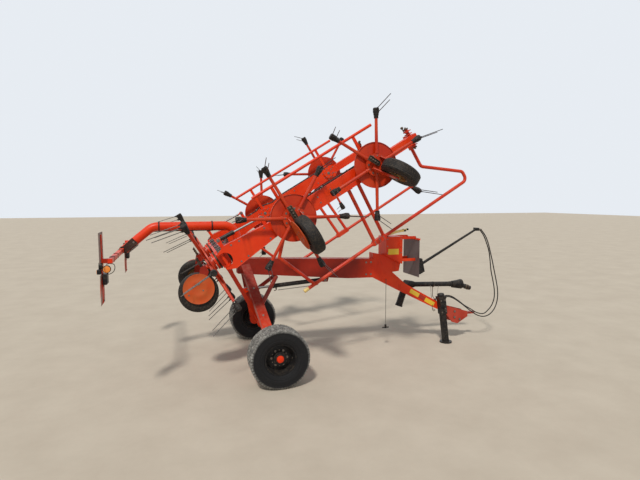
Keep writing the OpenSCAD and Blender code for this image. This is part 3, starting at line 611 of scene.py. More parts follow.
def add_road_tyre(side):
    """Tyre with a block tread; its outline follows the CAD tyre's."""
    m = joint_axes(f"wheel_{side}", X)
    half = TYRE_W / 2
    wall = [(RIM_R + 0.002, 0.144), (RIM_R + 0.012, 0.157), (RIM_R + 0.03, 0.1625), (0.252, 0.1685),
            (0.258, 0.1655), (0.264, 0.169), (0.285, 0.1695), (0.31, 0.1685), (0.33, 0.166)]
    crown = []
    for i in range(TREAD_COLUMNS + 1):
        across = 1 - 2 * i / TREAD_COLUMNS
        h = across * (half - 0.0015)
        edge = max(0.0, abs(h) - (half - SHOULDER))
        drop = SHOULDER - sqrt(max(0.0, SHOULDER ** 2 - (edge * 0.985) ** 2))
        crown.append((TYRE_R - 0.0008 - 0.9 * drop, h, across))
    rings = []
    for k in range(TREAD_STEPS):
        turn = k / TREAD_STEPS
        tread = [(r - groove(turn, across), h) for r, h, across in crown]
        rings.append([m @ polar(r, tau * turn, h) for r, h in both_faces(wall, tread)])
    shape = Shape()
    shape.grid(rings, close_loop=True)
    tyre = shape.piece(f"road_tyre_{side}_tread", f"tyre_{side}", f"wheel_{side}", "tyre")
    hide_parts(f"tyre_{side}")


def add_rim_details(side):
    """Hub cap with its bolted ring, wheel bolts, valve and the rim's edges."""
    body = f"wheel_{side}"
    hub = axes_at(joint_pos(body), SIDES[side] * Y, X)
    collar, cap, bolts, edges = shapes(4)
    cap.lathe(hub, [(AXIS, 0.129), (0.03, 0.128), (0.042, 0.123), (0.0485, 0.112), (0.0485, 0.1095),
                    (AXIS, 0.1095)], 40)
    collar.lathe(hub, [(0.049, 0.1095), (0.063, 0.1095), (0.0635, 0.112), (0.06, 0.115), (0.049, 0.115)], 40)
    collar.bolt_circle(hub @ at(0, 0, 0.115), 0.0555, 6, 0.0035)
    face = hub @ at(0, 0, 0.042)
    bolts.bolt_circle(face, 0.101, 6, 0.01)
    for a in angles(6, 0.5):
        bolts.drum(face @ at(*polar(0.101, a)), 0.006, 0, 0.004, 12)
    bolts.tube([hub @ Vector((x, 0, z)) for x, z in ((0.165, 0.05), (0.16, 0.085), (0.155, 0.105))], 0.005, 8)
    for r, h in ((RIM_R - 0.005, 0.142), (RIM_R - 0.03, 0.088)):
        edges.lathe(hub, [(r, h), (r + 0.003, h + 0.002), (r + 0.0045, h - 0.002), (r + 0.002, h - 0.004)], 64)
    collar.piece(f"hub_ring_{side}", "rim", body, "rim")
    cap.piece(f"hub_cap_{side}", "paint", body)
    bolts.piece(f"rim_bolts_{side}", "bolt", body, "rim")
    edges.piece(f"rim_edge_{side}", "rim", body, "rim")


# Gauge wheels

GAUGE_R, GAUGE_W, GAUGE_RIBS, RIB_HALF = 0.257, 0.15, 5, 0.009


def add_gauge_wheel(side, place):
    name = f"gauge_{side}_{place}"
    m = joint_axes(name + "_spin", BEAM_FWD if place else X)
    half = GAUGE_W / 2
    tyre, rim, bolts = shapes(3)
    wall = [(0.118, half - 0.014), (0.128, half - 0.004), (0.15, half - 0.0005), (0.17, half - 0.004),
            (0.174, half - 0.001), (0.205, half - 0.003), (0.23, half - 0.006), (0.243, half - 0.015)]
    tread = []
    for i in range(GAUGE_RIBS):
        centre = (GAUGE_RIBS - 1 - 2 * i) / GAUGE_RIBS * (half - 0.026)
        crown = GAUGE_R - 0.01 * (centre / half) ** 2 - 0.001
        tread += [(crown - 0.004, centre + RIB_HALF + 0.0015), (crown, centre + RIB_HALF),
                  (crown, centre - RIB_HALF), (crown - 0.004, centre - RIB_HALF - 0.0015)]
    tyre.lathe(m, both_faces(wall, tread), 72)
    piece = tyre.piece(f"gauge_tyre_{side}_{place}", "wall", name, "gauge")
    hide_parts(name)
    rim.lathe(m, both_faces([(0.0155, half - 0.004), (0.034, half - 0.004), (0.038, half - 0.018), (0.04, 0.03),
                             (0.06, 0.024), (0.088, 0.022), (0.098, 0.03), (0.103, half - 0.022),
                             (0.112, half - 0.012), (0.121, half - 0.006), (0.117, half - 0.014)]), 64)
    rim.piece(f"gauge_rim_{side}_{place}", "ochre", name, "gauge")
    for face in (m, m @ FLIP):
        bolts.bolt_circle(face @ at(0, 0, 0.0235), 0.072, 5, 0.007)
    bolts.piece(f"gauge_bolts_{side}_{place}", "bolt", name, "gauge")


# Rotors and their tines

ARMS, TINE_LEAN = 6, radians(14)
COIL_R, COIL_PITCH, COIL_STEPS = 0.0105, 0.0044, 10


def arm_axes(side, place, k):
    """Axes of one arm: Z outward along it, X along the rotor's own up axis; neighbours stand half a step apart."""
    phase = (place + (side == "left")) % 2 * pi / ARMS
    out = polar(1, phase + tau * k / ARMS + pi / 2)
    return rotor_axes(side, place) @ axes(Z, out.cross(Z), out)


def add_tines(side, place):
    """Rubber boots and sprung prongs at the ends of the arms."""
    body = rotor_name(side, place)
    boots, prongs = shapes(2)
    down = Vector((-cos(TINE_LEAN), 0, sin(TINE_LEAN)))
    profile = [(0.0225, 0.596), (0.029, 0.596), (0.03, 0.61), (0.0275, 0.613), (0.033, 0.628), (0.0305, 0.631),
               (0.037, 0.648), (0.0345, 0.651), (0.041, 0.672), (0.0415, 0.69), (0.038, 0.693), (0.0415, 0.699),
               (0.0405, 0.716), (0.034, 0.7275), (AXIS, 0.728), (AXIS, 0.6415), (0.0225, 0.6415)]
    for k in range(ARMS):
        m = arm_axes(side, place, k)
        boots.lathe(m, profile, 20)
        for out, length in ((0.652, 0.4), (0.712, 0.43)):
            root = Vector((-0.021, 0, out))
            line = [root + 0.012 * Z, root + 0.015 * down, root + 0.5 * length * down, root + length * down]
            prongs.tube([m @ p for p in line], [0.005, 0.005, 0.005, 0.0042], 8)
            boots.tube([m @ (root + 0.004 * down), m @ (root + 0.045 * down)], [0.013, 0.008], 10)
            turns = [i / COIL_STEPS for i in range(22)]
            coil = [Vector((-0.04 - COIL_PITCH * n, COIL_R * cos(tau * n),
                            out + COIL_R * sin(tau * n))) for n in turns]
            prongs.tube([m @ p for p in coil], 0.0032, 6)
    boot = boots.piece(f"tine_boots_{side}_{place}", "boot", body, "tine")
    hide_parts(f"tines_{side}_{place}")
    prongs.piece(f"tine_prongs_{side}_{place}", "spring", body, "tine")


def add_rotor_details(side, place):
    """Bolts under the flange, and a clamp and a bolt on each arm."""
    body = rotor_name(side, place)
    m = rotor_axes(side, place)
    bolts, clamps = shapes(2)
    bolts.bolt_circle(m @ at(0, 0, -0.016) @ FLIP, 0.12, 12, 0.009)
    for k in range(ARMS):
        a = arm_axes(side, place, k)
        clamps.tube([a @ (0.15 * Z), a @ (0.176 * Z)], 0.029, 16)
        clamps.box(a @ at(0.02, 0, 0.235), (0.028, 0.012, 0.11), 0.004)
        bolts.bolt(a @ at(0.0, 0.024, 0.61) @ Matrix.Rotation(-pi / 2, 4, "X"), 0.007)
    clamps.piece(f"arm_clamps_{side}_{place}", "rotor", body, "rotor_paint")
    bolts.piece(f"rotor_bolts_{side}_{place}", "bolt", body, "rotor_paint")


# Small helpers for what sits on the frames

def pin_end(shape, m, r):
    """Washer, pin head and grease nipple along the Z of m."""
    shape.drum(m, 1.6 * r, -0.003, 0.004, 28, 0.001)
    shape.drum(m, r, 0.003, 0.012, 28, 0.003)
    shape.drum(m, 0.0045, 0.011, 0.017, 6)
    shape.drum(m, 0.003, 0.016, 0.024, 8, 0.001)


def pin_ends(shape, centre, axis, half, r):
    axis = Vector(axis).normalized()
    for d in (1, -1):
        pin_end(shape, axes_at(Vector(centre) + d * half * axis, d * axis, axis.orthogonal()), r)


def weld(shape, points, r=0.004):
    """Rippled weld bead along a line."""
    line = [Vector(p) for p in points]
    dense = []
    for a, b in zip(line, line[1:]):
        count = max(2, int((b - a).length / 0.01))
        dense += [a.lerp(b, k / count) for k in range(count)]
    dense.append(line[-1])
    shape.tube(dense, [r * (1.0 if k % 2 else 0.72) for k in range(len(dense))], 6)


def ring_weld(shape, m, r, bead=0.004, steps=40):
    weld(shape, [m @ polar(r, a) for a in angles(steps) + [tau]], bead)


PIPE_R = 0.008


def clipped_pipes(name, body, m, points, offsets):
    """Pipes side by side along a frame, with clips; offsets move each pipe sideways from points."""
    pipes, clips = shapes(2)
    points, offsets = [Vector(p) for p in points], [Vector(p) for p in offsets]
    side = offsets[-1] - offsets[0]
    for off in offsets:
        pipes.tube([m @ p for p in smooth_line([p + off for p in points], 4)], PIPE_R, 8)
    for a, b in zip(points, points[1:]):
        centre = (a + b) / 2 + sum(offsets, Vector()) / len(offsets)
        clips.box(m @ axes_at(centre, b - a, side), (side.length + 3.2 * PIPE_R, 2.9 * PIPE_R, 0.022), 0.002)
    pipes.piece(name + "_pipes", "hose", body, "black_steel")
    clips.piece(name + "_clips", "bolt", body, "black_steel")


def add_gear(m, half, flange_top, bolts, welds, flanges):
    """Bolts, seam and lower flange of a gearbox in a beam; half is half the beam's height."""
    for face, circle_r, count, r, phase in ((at(0, 0, half), 0.102, 8, 0.006, 0.5), (at(0, 0, -0.118) @ FLIP, 0.1045,
            12, 0.004, 0), (at(0, 0, half + 0.034), 0.066, 6, 0.006, 0)):
        bolts.bolt_circle(m @ face, circle_r, count, r, phase)
    ring_weld(welds, m @ at(0, 0, half - 0.004), BOX_R + 0.001)
    flanges.lathe(m, [(r, flange_top - drop) for r, drop in (
        (0.1155, 0), (0.122, 0.004), (0.122, 0.018), (0.1155, 0.022), (0.108, 0.02), (0.108, 0.002))], 48)


# Wings: everything in the wing's own axes, X forward, Y outward, Z to the top

INNER_HALF, OUTER_HALF, WING_H, ROOT_HALF = 0.095, 0.105, 0.11, 0.16
ROTOR_Y = (0.99, 2.29)
BOX_R = 0.112
RAIL_FWD, RAIL_UP, RAIL_R = 0.985, 0.195, 0.024
WING_TIP = 3.065


def add_wing_details(side):
    body = f"wing_{side}"
    m = wing_axes(side)
    half = WING_H / 2
    bolts, welds, plates = shapes(3)
    for y in ROTOR_Y:
        gear = m @ at(0, y, 0)
        add_gear(gear, half, -0.06, bolts, welds, plates)
        pin_end(bolts, gear @ at(0, 0, half + 0.034), 0.016)
    root = ((0.062, ROOT_HALF), (0.76, INNER_HALF), (0.88, INNER_HALF))
    outer = ((1.34, OUTER_HALF), (2.17, OUTER_HALF))
    for s in (1, -1):
        for z in (1, -1):
            for edge in (root, outer):
                weld(welds, [m @ Vector((s * (h - 0.001), y, z * (half - 0.001))) for y, h in edge], 0.0035)
    for y in (0.16, 0.27, 0.62):
        h = ROOT_HALF - (y - 0.062) / 0.698 * (ROOT_HALF - INNER_HALF) - 0.03
        for x in (h, -h):
            bolts.bolt(m @ at(x, y, -half) @ FLIP, 0.008)
    for y in (1.42, 1.62, 2.05, 2.42):
        for s in (1, -1):
            bolts.bolt(m @ at(0.04 * s, y, -half) @ FLIP, 0.007)
            bolts.bolt(m @ at(0.055 * s, y, half), 0.007)
    # Strut seats: four bolts on each plate beside the struts
    for y, h, z in ((1.85, OUTER_HALF, 0), (2.01, OUTER_HALF, 0), (0.839, INNER_HALF, -0.005)):
        seat = m @ axes_at((h + 0.008, y, z), X, Y)
        for a in (-0.036, 0.036):
            for b in (-0.036, 0.036):
                bolts.bolt(seat @ at(a, b, 0), 0.0055)
    # The fold cylinder's pin on the wing; the fold pin itself rides with the centre frame
    pin_ends(bolts, m @ Vector((0, 0.212, 0.212)), BEAM_FWD, 0.0425, 0.013)
    bolts.piece(f"wing_bolts_{side}", "bolt", body)
    welds.piece(f"wing_welds_{side}", "paint", body)
    plates.piece(f"gear_flanges_{side}", "cast", body)
    run = ((-0.108, 0.72), (-0.106, 0.86), (-0.123, 0.94), (-0.123, 1.04), (-0.09, 1.19), (-0.115, 1.36),
           (-0.115, 1.75), (-0.115, 2.2))
    clipped_pipes(f"wing_{side}_rear", body, m, [(x, y, 0.012) for x, y in run], [(0, 0, 0), (0, 0, 0.022)])
    add_strut_details(side, m, body)
    add_guard_details(side, m, body)
    add_tip_bracket(side, m, body)
    add_opening_shade(side, m, body)


# The opening's radius, its half width where it meets the beam's faces, and the thickness of the dark sheet of
# painted shade inside it
OPENING_R, OPENING_EDGE, SHADE_SHEET = 0.0945, 0.066, 0.0008


def add_opening_shade(side, m, body):
    """Painted shade: a thin dark sheet on the inside faces of the round opening under the fold pin, where it cuts
    into the beam, and across the opening near its top.
    """
    shade_sheet = Shape()
    start = asin(OPENING_EDGE / OPENING_R)
    arc = [start + (pi - 2 * start) * k / 16 for k in range(17)]
    outer = [polar(OPENING_R, a).xy for a in arc]
    inner = [polar(OPENING_R - SHADE_SHEET, a).xy for a in reversed(arc)]
    low, high = -WING_H / 2 + 0.001, WING_H / 2 - 0.0095
    shade_sheet.prism(m, outer + inner, low, high)
    shade_sheet.prism(m, outer, high - SHADE_SHEET, high)
    shade_sheet.piece(f"opening_shade_{side}", "cast", body)


STRUT_NEAR, STRUT_FAR, STRUT_SLEEVE = Vector((-0.25, 0.06, 0)), Vector((-0.206, 0.66, 0)), 0.36


def add_strut_details(side, m, body):
    """Black sleeve, bright rod, hose ends and pin heads of the adjusting strut."""
    v = STRUT_FAR - STRUT_NEAR
    ends = [m @ STRUT_NEAR, m @ (STRUT_NEAR + STRUT_SLEEVE * v), m @ STRUT_FAR]
    d = (ends[2] - ends[0]).normalized()
    sleeve, rod, pins = shapes(3)
    up = (m.to_3x3() @ Vector((-0.3, 0, 1))).normalized()
    start = ends[0] + 0.031 * d
    sleeve.tube([start, start + 0.02 * d, ends[1] - 0.03 * d, ends[1] - 0.028 * d, ends[1] + 0.004 * d],
                [0.0262, 0.0262, 0.0262, 0.029, 0.029], 28)
    for share in (0.3, 0.85):
        port = start.lerp(ends[1], share)
        sleeve.tube([port, port + 0.036 * up], 0.01, 12)
        sleeve.tube([port + 0.034 * up, port + 0.046 * up, port + 0.05 * up + 0.03 * d], 0.0075, 10)
    rod.tube([ends[1] + 0.003 * d, ends[2] - 0.06 * d], 0.0135, 24)
    rod.tube([ends[2] - 0.075 * d, ends[2] - 0.05 * d], 0.02, 6)
    for p in (STRUT_NEAR, STRUT_FAR):
        pin_ends(pins, m @ p, m.to_3x3() @ Z, 0.028, 0.014)
    sleeve.piece(f"strut_sleeve_{side}", "black", body, "black_steel")
    rod.piece(f"strut_rod_{side}", "steel", body, "rod")
    pins.piece(f"strut_pins_{side}", "bolt", body, "black_steel")


def add_guard_details(side, m, body):
    """Yellow end cap, clamps with bolts and weld beads on the guard rail."""
    caps, clamps, bolts, welds = shapes(4)
    cap = [(AXIS, 0.0), (0.02, 0.0), (0.0262, 0.005), (0.0268, 0.075), (0.0243, 0.077), (0.0243, 0.0078),
           (AXIS, 0.0078)]
    caps.lathe(m @ axes_at((RAIL_FWD, 0.652, RAIL_UP), Y, X), cap, 32)
    caps.piece(f"guard_cap_{side}", "lever", body, "paint_rail")
    for y in (1.83, 2.055):
        clamps.ring(m @ axes_at((RAIL_FWD, y, RAIL_UP), Y, X), 0.0245, 0.031, -0.012, 0.012, 28, 0.002)
    for y in (1.87, 1.945, 2.015):
        for z in (1, -1):
            bolts.bolt(m @ axes_at((RAIL_FWD + 0.034, y, RAIL_UP + 0.018 * z), X, Y), 0.006)
            bolts.bolt(m @ axes_at((RAIL_FWD - 0.016 * z, y, RAIL_UP - 0.034), -Z, Y), 0.006)
    ring_weld(welds, m @ axes_at((RAIL_FWD, 0.852, RAIL_UP), Y, X), RAIL_R + 0.002, 0.004, 28)
    for y in (1.85, 2.01):
        ring_weld(welds, m @ axes_at((OUTER_HALF + 0.01, y, 0.004), (0.89, 0.02, 0.195), Y), 0.027, 0.004, 28)
    clamps.piece(f"guard_clamps_{side}", "rail", body, "paint_rail")
    bolts.piece(f"guard_bolts_{side}", "bolt", body, "paint_rail")
    welds.piece(f"guard_welds_{side}", "rail", body, "paint_rail")


def add_tip_bracket(side, m, body):
    """The guard's bracket at a wing's tip: a cross tube with its plates, end bushes, bolts and a latch."""
    y, z, near, far = WING_TIP - 0.037, 0.082, -0.15, 0.12
    tube, dark_parts, bolts = shapes(3)
    tube.ring(m @ axes_at((near, y, z), X, Y), 0.016, 0.026, 0, far - near, 32)
    plate = [(-0.05, -0.06), (0.034, -0.06), (0.034, 0.026), (0.029, 0.04), (0.016, 0.048), (-0.018, 0.048),
             (-0.034, 0.042), (-0.05, 0.02)]
    for x in (-0.122, -0.08, 0.09):
        tube.prism(m @ axes_at((x, y, z), X, Y), plate, -0.005, 0.005)
    for x, out in ((near, -1), (far, 1)):
        face = m @ axes_at((x, y, z), out * X, Y)
        dark_parts.drum(face, 0.035, -0.002, 0.014, 32, 0.003)
        bolts.drum(face, 0.017, 0.012, 0.026, 6, 0.002)
        bolts.drum(face, 0.009, 0.024, 0.033, 12, 0.001)
    latch = ((-0.101, 0.03), (-0.103, 0.062), (-0.126, 0.08), (-0.168, 0.084))
    dark_parts.tube(smooth_line([m @ Vector((x, y, z + rise)) for x, rise in latch], 5), 0.008, 10)
    knob = [(AXIS, 0.0), (0.014, 0.003), (0.021, 0.012), (0.022, 0.022), (0.015, 0.034), (AXIS, 0.038)]
    dark_parts.lathe(m @ axes_at((-0.166, y, z + 0.084), -X, Y), knob, 24)
    tube.piece(f"tip_bracket_{side}", "rail", body, "paint_rail")
    dark_parts.piece(f"tip_bushes_{side}", "cast", body, "black_steel")
    bolts.piece(f"tip_bolts_{side}", "bolt", body, "paint_rail")


# Centre frame: everything in the beam's axes

FRAME_W, FRAME_H, FOLD_Y = 0.19, 0.12, 0.96


def add_centre_details():
    body = "rotor_frame"
    m = beam_axes()
    half = FRAME_H / 2
    bolts, welds, flanges = shapes(3)
    for s in (1, -1):
        add_gear(m @ at(0, 0.65 * s, 0), half, -0.066, bolts, welds, flanges)
        pin_ends(bolts, m @ Vector((0, FOLD_Y * s, 0)), BEAM_FWD, 0.124, 0.019)
        pin_ends(bolts, m @ Vector((0, 0.11 * s, 0.112)), BEAM_FWD, 0.049, 0.012)
        for x in (1, -1):
            weld(welds, [m @ Vector((x * 0.0925, s * 0.8955, z)) for z in (-0.038, 0.038)], 0.0035)
            for y in (0.36, 0.46, 0.84):
                bolts.bolt(m @ at(0.06 * x, s * y, half), 0.008)
    for x in (1, -1):
        for z in (1, -1):
            edge = Vector((x * (FRAME_W / 2 - 0.001), 0, z * (half - 0.001)))
            weld(welds, [m @ (edge + y * Y) for y in (-0.5, 0.5)], 0.0035)
    bolts.piece("centre_bolts", "bolt", body)
    welds.piece("centre_welds", "paint", body)
    flanges.piece("centre_gear_flanges", "cast", body)
    run = [(-0.104, 0.0), (-0.104, 0.5), (-0.122, 0.59), (-0.122, 0.71), (-0.104, 0.8), (-0.104, 0.87)]
    line = [(x, -y, 0.03) for x, y in run[:0:-1]] + [(x, y, 0.03) for x, y in run]
    clipped_pipes("centre_rear", body, m, line, [(0, 0, 0), (0, 0, -0.022), (0, 0, -0.044)])


# Cylinders

BARREL_R = 0.032


def add_cylinder(kind, tail, length, port_up):
    """Gland, seam, ports and pipe of a hydraulic barrel, from its joints and its length."""
    foot = joint_pos(f"{kind}_swing{tail}")
    d = joint_way(f"{kind}_stroke{tail}")
    up = square_to(port_up, d)
    barrel, fittings = shapes(2)
    for way, low, high in (((length - 0.05, length - 0.048, length + 0.0005, length + 0.004), 0.001, 0.005),
                           ((0.06, 0.062, 0.078, 0.08), 0.0005, 0.003)):
        barrel.tube([foot + w * d for w in way], [BARREL_R + rise for rise in (low, high, high, low)], 28)
    for w in (0.11, length - 0.075):
        p = foot + w * d
        barrel.tube([p, p + (BARREL_R + 0.014) * up], 0.012, 16)
        q = p + (BARREL_R + 0.01) * up
        fittings.tube([q, q + 0.018 * up], 0.0095, 6)
        fittings.tube([q + 0.016 * up, q + 0.024 * up, q + 0.03 * up + 0.012 * d, q + 0.03 * up + 0.035 * d],
                      0.0068, 10)
    near, far = (foot + w * d + (BARREL_R + 0.0402) * up for w in (0.145, length - 0.04))
    fittings.tube([near, near + 0.02 * d, near.lerp(far, 0.5), far - 0.06 * d], 0.0055, 8)
    body = f"{kind}_cylinder{tail}"
    barrel.piece(f"{kind}_barrel{tail}_rings", "black", body, "black_steel")
    fittings.piece(f"{kind}_barrel{tail}_ports", "bolt", body, "black_steel")


def add_cylinders():
    add_cylinder("tip", "", 0.84, -Z)
    for side in SIDES:
        add_cylinder("fold", "_" + side, 0.56, -BEAM_FWD)


# Gauge forks and the round plates that keep hay off

ARM_DROP, GAUGE_FWD, GAUGE_DROP, FORK_Y, STEM_LOW = 0.19, 0.22, 0.5, 0.094, -0.246
# Side of the fork on which each place has its round plate, outward being 1
PLATE_SIDE = {0: 1, 1: -1}


def stay_axes(side, place):
    """Axes of a gauge fork: Z up its stem, X towards the gauge wheel, origin at the beam's middle."""
    m = rotor_axes(side, place)
    up = m.to_3x3() @ Z
    centre = m.translation + ARM_DROP * up
    return axes_at(centre, up, joint_pos(f"gauge_{side}_{place}_spin") - centre)


def add_fork_details(side, place):
    body = "rotor_frame" if place == 0 else f"wing_{side}"
    m = stay_axes(side, place)
    bar, bolts, welds = shapes(3)
    low = STEM_LOW - 0.024
    plate = PLATE_SIDE.get(place, 0) * SIDES[side]
    for s in (1, -1):
        if s != plate:
            nut = m @ axes_at((GAUGE_FWD, s * FORK_Y, -GAUGE_DROP), s * Y, X)
            bolts.drum(nut, 0.024, 0, 0.004, 24)
            bolts.drum(nut, 0.018, 0.003, 0.016, 6, 0.002)
            bolts.drum(nut, 0.009, 0.015, 0.024, 12, 0.001)
            weld(welds, [m @ Vector((x, s * (FORK_Y - 0.0005), low)) for x in (-0.048, 0.048)], 0.003)
    for y in (0.055, -0.055):
        for x in (0.034, -0.034):
            bolts.bolt(m @ at(x, y, STEM_LOW), 0.007)
    ring_weld(welds, m @ at(0, 0, STEM_LOW + 0.001), 0.036, 0.004, 28)
    # Greasy bar of the height setting behind the fork, with its pins, under the crown
    cheek = [(-0.172, -low), (-0.16, 0.032 - low), (-0.012, 0.032 - low), (0, -low)]
    bar.box(m @ axes_at((-0.086, 0, low - 0.009), X, Y), (0.05, 0.018, 0.172), 0.004)
    for s in (1, -1):
        bar.prism(m @ axes_at((0, s * 0.029, 0), Y, X), cheek, -0.003, 0.003)
    for x in (-0.15, -0.112, -0.074, -0.036):
        bar.drum(m @ axes_at((x, 0, low - 0.018), -Z, X), 0.0155, 0, 0.012, 20, 0.003)
        bolts.drum(m @ axes_at((x, 0, low - 0.03), -Z, X), 0.0065, 0, 0.007, 12, 0.0015)
    bar.piece(f"height_bar_{side}_{place}", "cast", body, "black_steel")
    bolts.piece(f"fork_bolts_{side}_{place}", "bolt", body)
    welds.piece(f"fork_welds_{side}_{place}", "rotor", body)
    if plate:
        add_hay_plate(side, place, m, body, plate)


def add_hay_plate(side, place, m, body, plate):
    """Faded round plate over the CAD one, with a rolled edge, a pressed ring and its bolts."""
    centre = Vector((GAUGE_FWD - 0.05, plate * (FORK_Y + 0.0025), -GAUGE_DROP + 0.03))
    face = m @ axes_at(centre, plate * Y, X)
    disc, bolts = shapes(2)
    disc.lathe(face, [(AXIS, -0.003), (0.193, -0.003), (0.1965, -0.002), (0.1975, 0.003), (0.195, 0.0065),
                      (0.189, 0.004), (0.12, 0.004), (0.112, 0.0075), (0.075, 0.0075), (0.067, 0.004),
                      (AXIS, 0.004)], 72)
    for x, y in ((0.0, -0.145), (0.045, 0.035), (-0.05, 0.03)):
        bolts.bolt(face @ at(x, y, 0.004), 0.007)
    disc.piece(f"hay_plate_{side}_{place}", "disc", body)
    bolts.piece(f"hay_plate_bolts_{side}_{place}", "bolt", body)


# Carriage: in metres forward of the road axle, left, and over the ground

def facing(ax, y, z, up=Z, x=X):
    """Axes at a point of the carriage, with Z along up."""
    return axes_at(carriage(ax, y, z), up, x)


BAND_HALF = 0.034


def on_bar(share, across):
    """Point on the drawbar's side, from its band's rear end to its front end; across runs up the band."""
    low, high = Vector((2.405, 0.903)), Vector((2.85, 0.645))
    d = (high - low).normalized()
    p = low.lerp(high, share) + across * Vector((-d.y, d.x))
    return p.x, p.y


def side_weld(shape, y, points, r=0.004):
    """Weld on a side of the carriage, through points given forward of the axle and over the ground."""
    weld(shape, [carriage(x, y, z) for x, z in points], r)


def add_drawbar_details():
    bolts, welds, irons = shapes(3)
    # Plain reflecting band on both sides: yellow, red, yellow
    for name, look, parts in (("yellow", "yellow", ((0.0, 0.36), (0.62, 1.0))), ("red", "hitch", ((0.365, 0.615),))):
        band = Shape()
        for s in (1, -1):
            for a, b in parts:
                outline = [on_bar(share, rise * BAND_HALF) for share, rise in ((a, -1), (b, -1), (b, 1), (a, 1))]
                band.grid([[carriage(x, s * (0.0745 + d), z) for x, z in outline] for d in (0, 0.0017)])
        band.piece(f"band_{name}", look)
    # Hitch plates' bolts, ends of the drawbar's welds, and the ring of the eye
    for s in (1, -1):
        for x, z in ((3.24, 0.5), (3.24, 0.4), (3.34, 0.36)):
            face = facing(x, s * 0.087, z, s * Y)
            bolts.drum(face, 0.02, -0.002, 0.004, 24)
            bolts.drum(face, 0.0165, 0.003, 0.015, 6, 0.002)
        side_weld(welds, s * 0.0765, ((3.06, 0.495), (3.12, 0.576)))
        side_weld(welds, s * 0.0755, ((2.215, 1.36), (2.19, 1.24), (2.075, 1.228)))
        side_weld(welds, s * 0.0755, ((1.782, 1.155), (1.782, 1.45)), 0.005)
    irons.lathe(facing(3.64, 0, 0.44), [
        (0.0182, -0.0165), (0.03, -0.0165), (0.03, -0.015), (0.03, 0.015), (0.03, 0.0165), (0.0182, 0.0165)], 36)
    # Hook under the drawbar, by the stand
    hook = ((2.818, 0.64), (2.818, 0.59), (2.826, 0.552), (2.85, 0.535), (2.872, 0.548), (2.818, 0.575))
    irons.tube(smooth_line([carriage(x, -0.079, z) for x, z in hook], 4), 0.005, 8)
    # Cast ring where the pull cord hangs
    irons.ring(facing(1.965, -0.09, 1.104), 0.0045, 0.009, -0.003, 0.01, 20)
    bolts.piece("drawbar_bolts", "bolt")
    welds.piece("drawbar_welds", "bar")
    irons.piece("drawbar_irons", "cast", slot="black_steel")


def add_head_details():
    patch, strip, levers, knobs, bolts, welds = shapes(6)
    for s in (1, -1):
        patch.box(facing(2.06, s * 0.1505, 1.56, s * Y), (0.18, 0.09, 0.0015))
        for x in (1.957, 2.191):
            for z in (1.76, 1.65, 1.54):
                bolts.bolt(facing(x, s * 0.15, z, s * Y), 0.006)
        side_weld(welds, s * 0.1495, ((1.937, 1.506), (1.95, 1.5), (2.213, 1.361)))
        side_weld(welds, s * 0.1495, ((2.2145, 1.362), (2.2145, 1.799)), 0.003)
        for z in (1.7775, 1.4225):
            bolts.bolt(facing(2.4545, s * 0.135, z, X, Y), 0.008)
    strip.box(facing(2.452, 0, 1.7565), (0.022, 0.548, 0.026), 0.002)
    for y, reach, rise in ((-0.125, 0.3, 0.072), (-0.095, 0.36, 0.09), (-0.062, 0.24, 0.06), (-0.028, 0.32, 0.078)):
        end = 1.96 + reach
        line = ((1.958, 1.799), (1.962, 1.815), (2.0, 1.832), (1.96 + 0.6 * reach, 1.815 + 0.75 * rise),
                (end, 1.815 + rise))
        levers.tube(smooth_line([carriage(x, y, z) for x, z in line], 5), 0.0115, 12)
        knobs.tube([carriage(end - 0.01, y, 1.815 + 0.99 * rise), carriage(end + 0.02, y, 1.815 + 1.04 * rise)],
                   0.0155, 14)
        knobs.box(facing(1.958, y, 1.806), (0.034, 0.026, 0.016), 0.002)
    patch.piece("head_patch", "yellow")
    strip.piece("board_strip", "bar")
    levers.piece("head_levers", "lever")
    knobs.piece("lever_knobs", "black", slot="black_steel")
    bolts.piece("head_bolts", "bolt")
    welds.piece("head_welds", "bar")


def bellows(shape, a, b, r0, r1, count):
    """Rings of a ribbed cone from a to b."""
    d = (b - a).normalized()
    step = (b - a).length / count
    slope = (r1 - r0) / count
    for k in range(count):
        r = r0 + (k + 0.5) * slope
        profile = [(r - 0.004 - slope * 0.3, -0.32 * step), (r + 0.0035, -0.12 * step),
                   (r + 0.0035, 0.12 * step), (r - 0.004 + slope * 0.3, 0.32 * step)]
        shape.lathe(axes_at(a + (k + 0.5) * step * d, d, Y), profile, 36)


CHAIN_LINKS = 14


def hang_chain(shape, a, b, sag):
    """Links of a chain from a to b, every second one turned."""
    line = [a.lerp(b, k / CHAIN_LINKS) - Z * sag * sin(pi * k / CHAIN_LINKS) for k in range(CHAIN_LINKS + 1)]
    for k, (p, q) in enumerate(zip(line, line[1:])):
        d = (q - p).normalized()
        w = square_to(Y if k % 2 else X, d)
        half = 0.62 * (q - p).length
        shape.tube([(p + q) / 2 + half * cos(a) * d + 0.0055 * sin(a) * w for a in angles(10) + [tau]], 0.0016, 5)


DRIVE_Y = 0.165


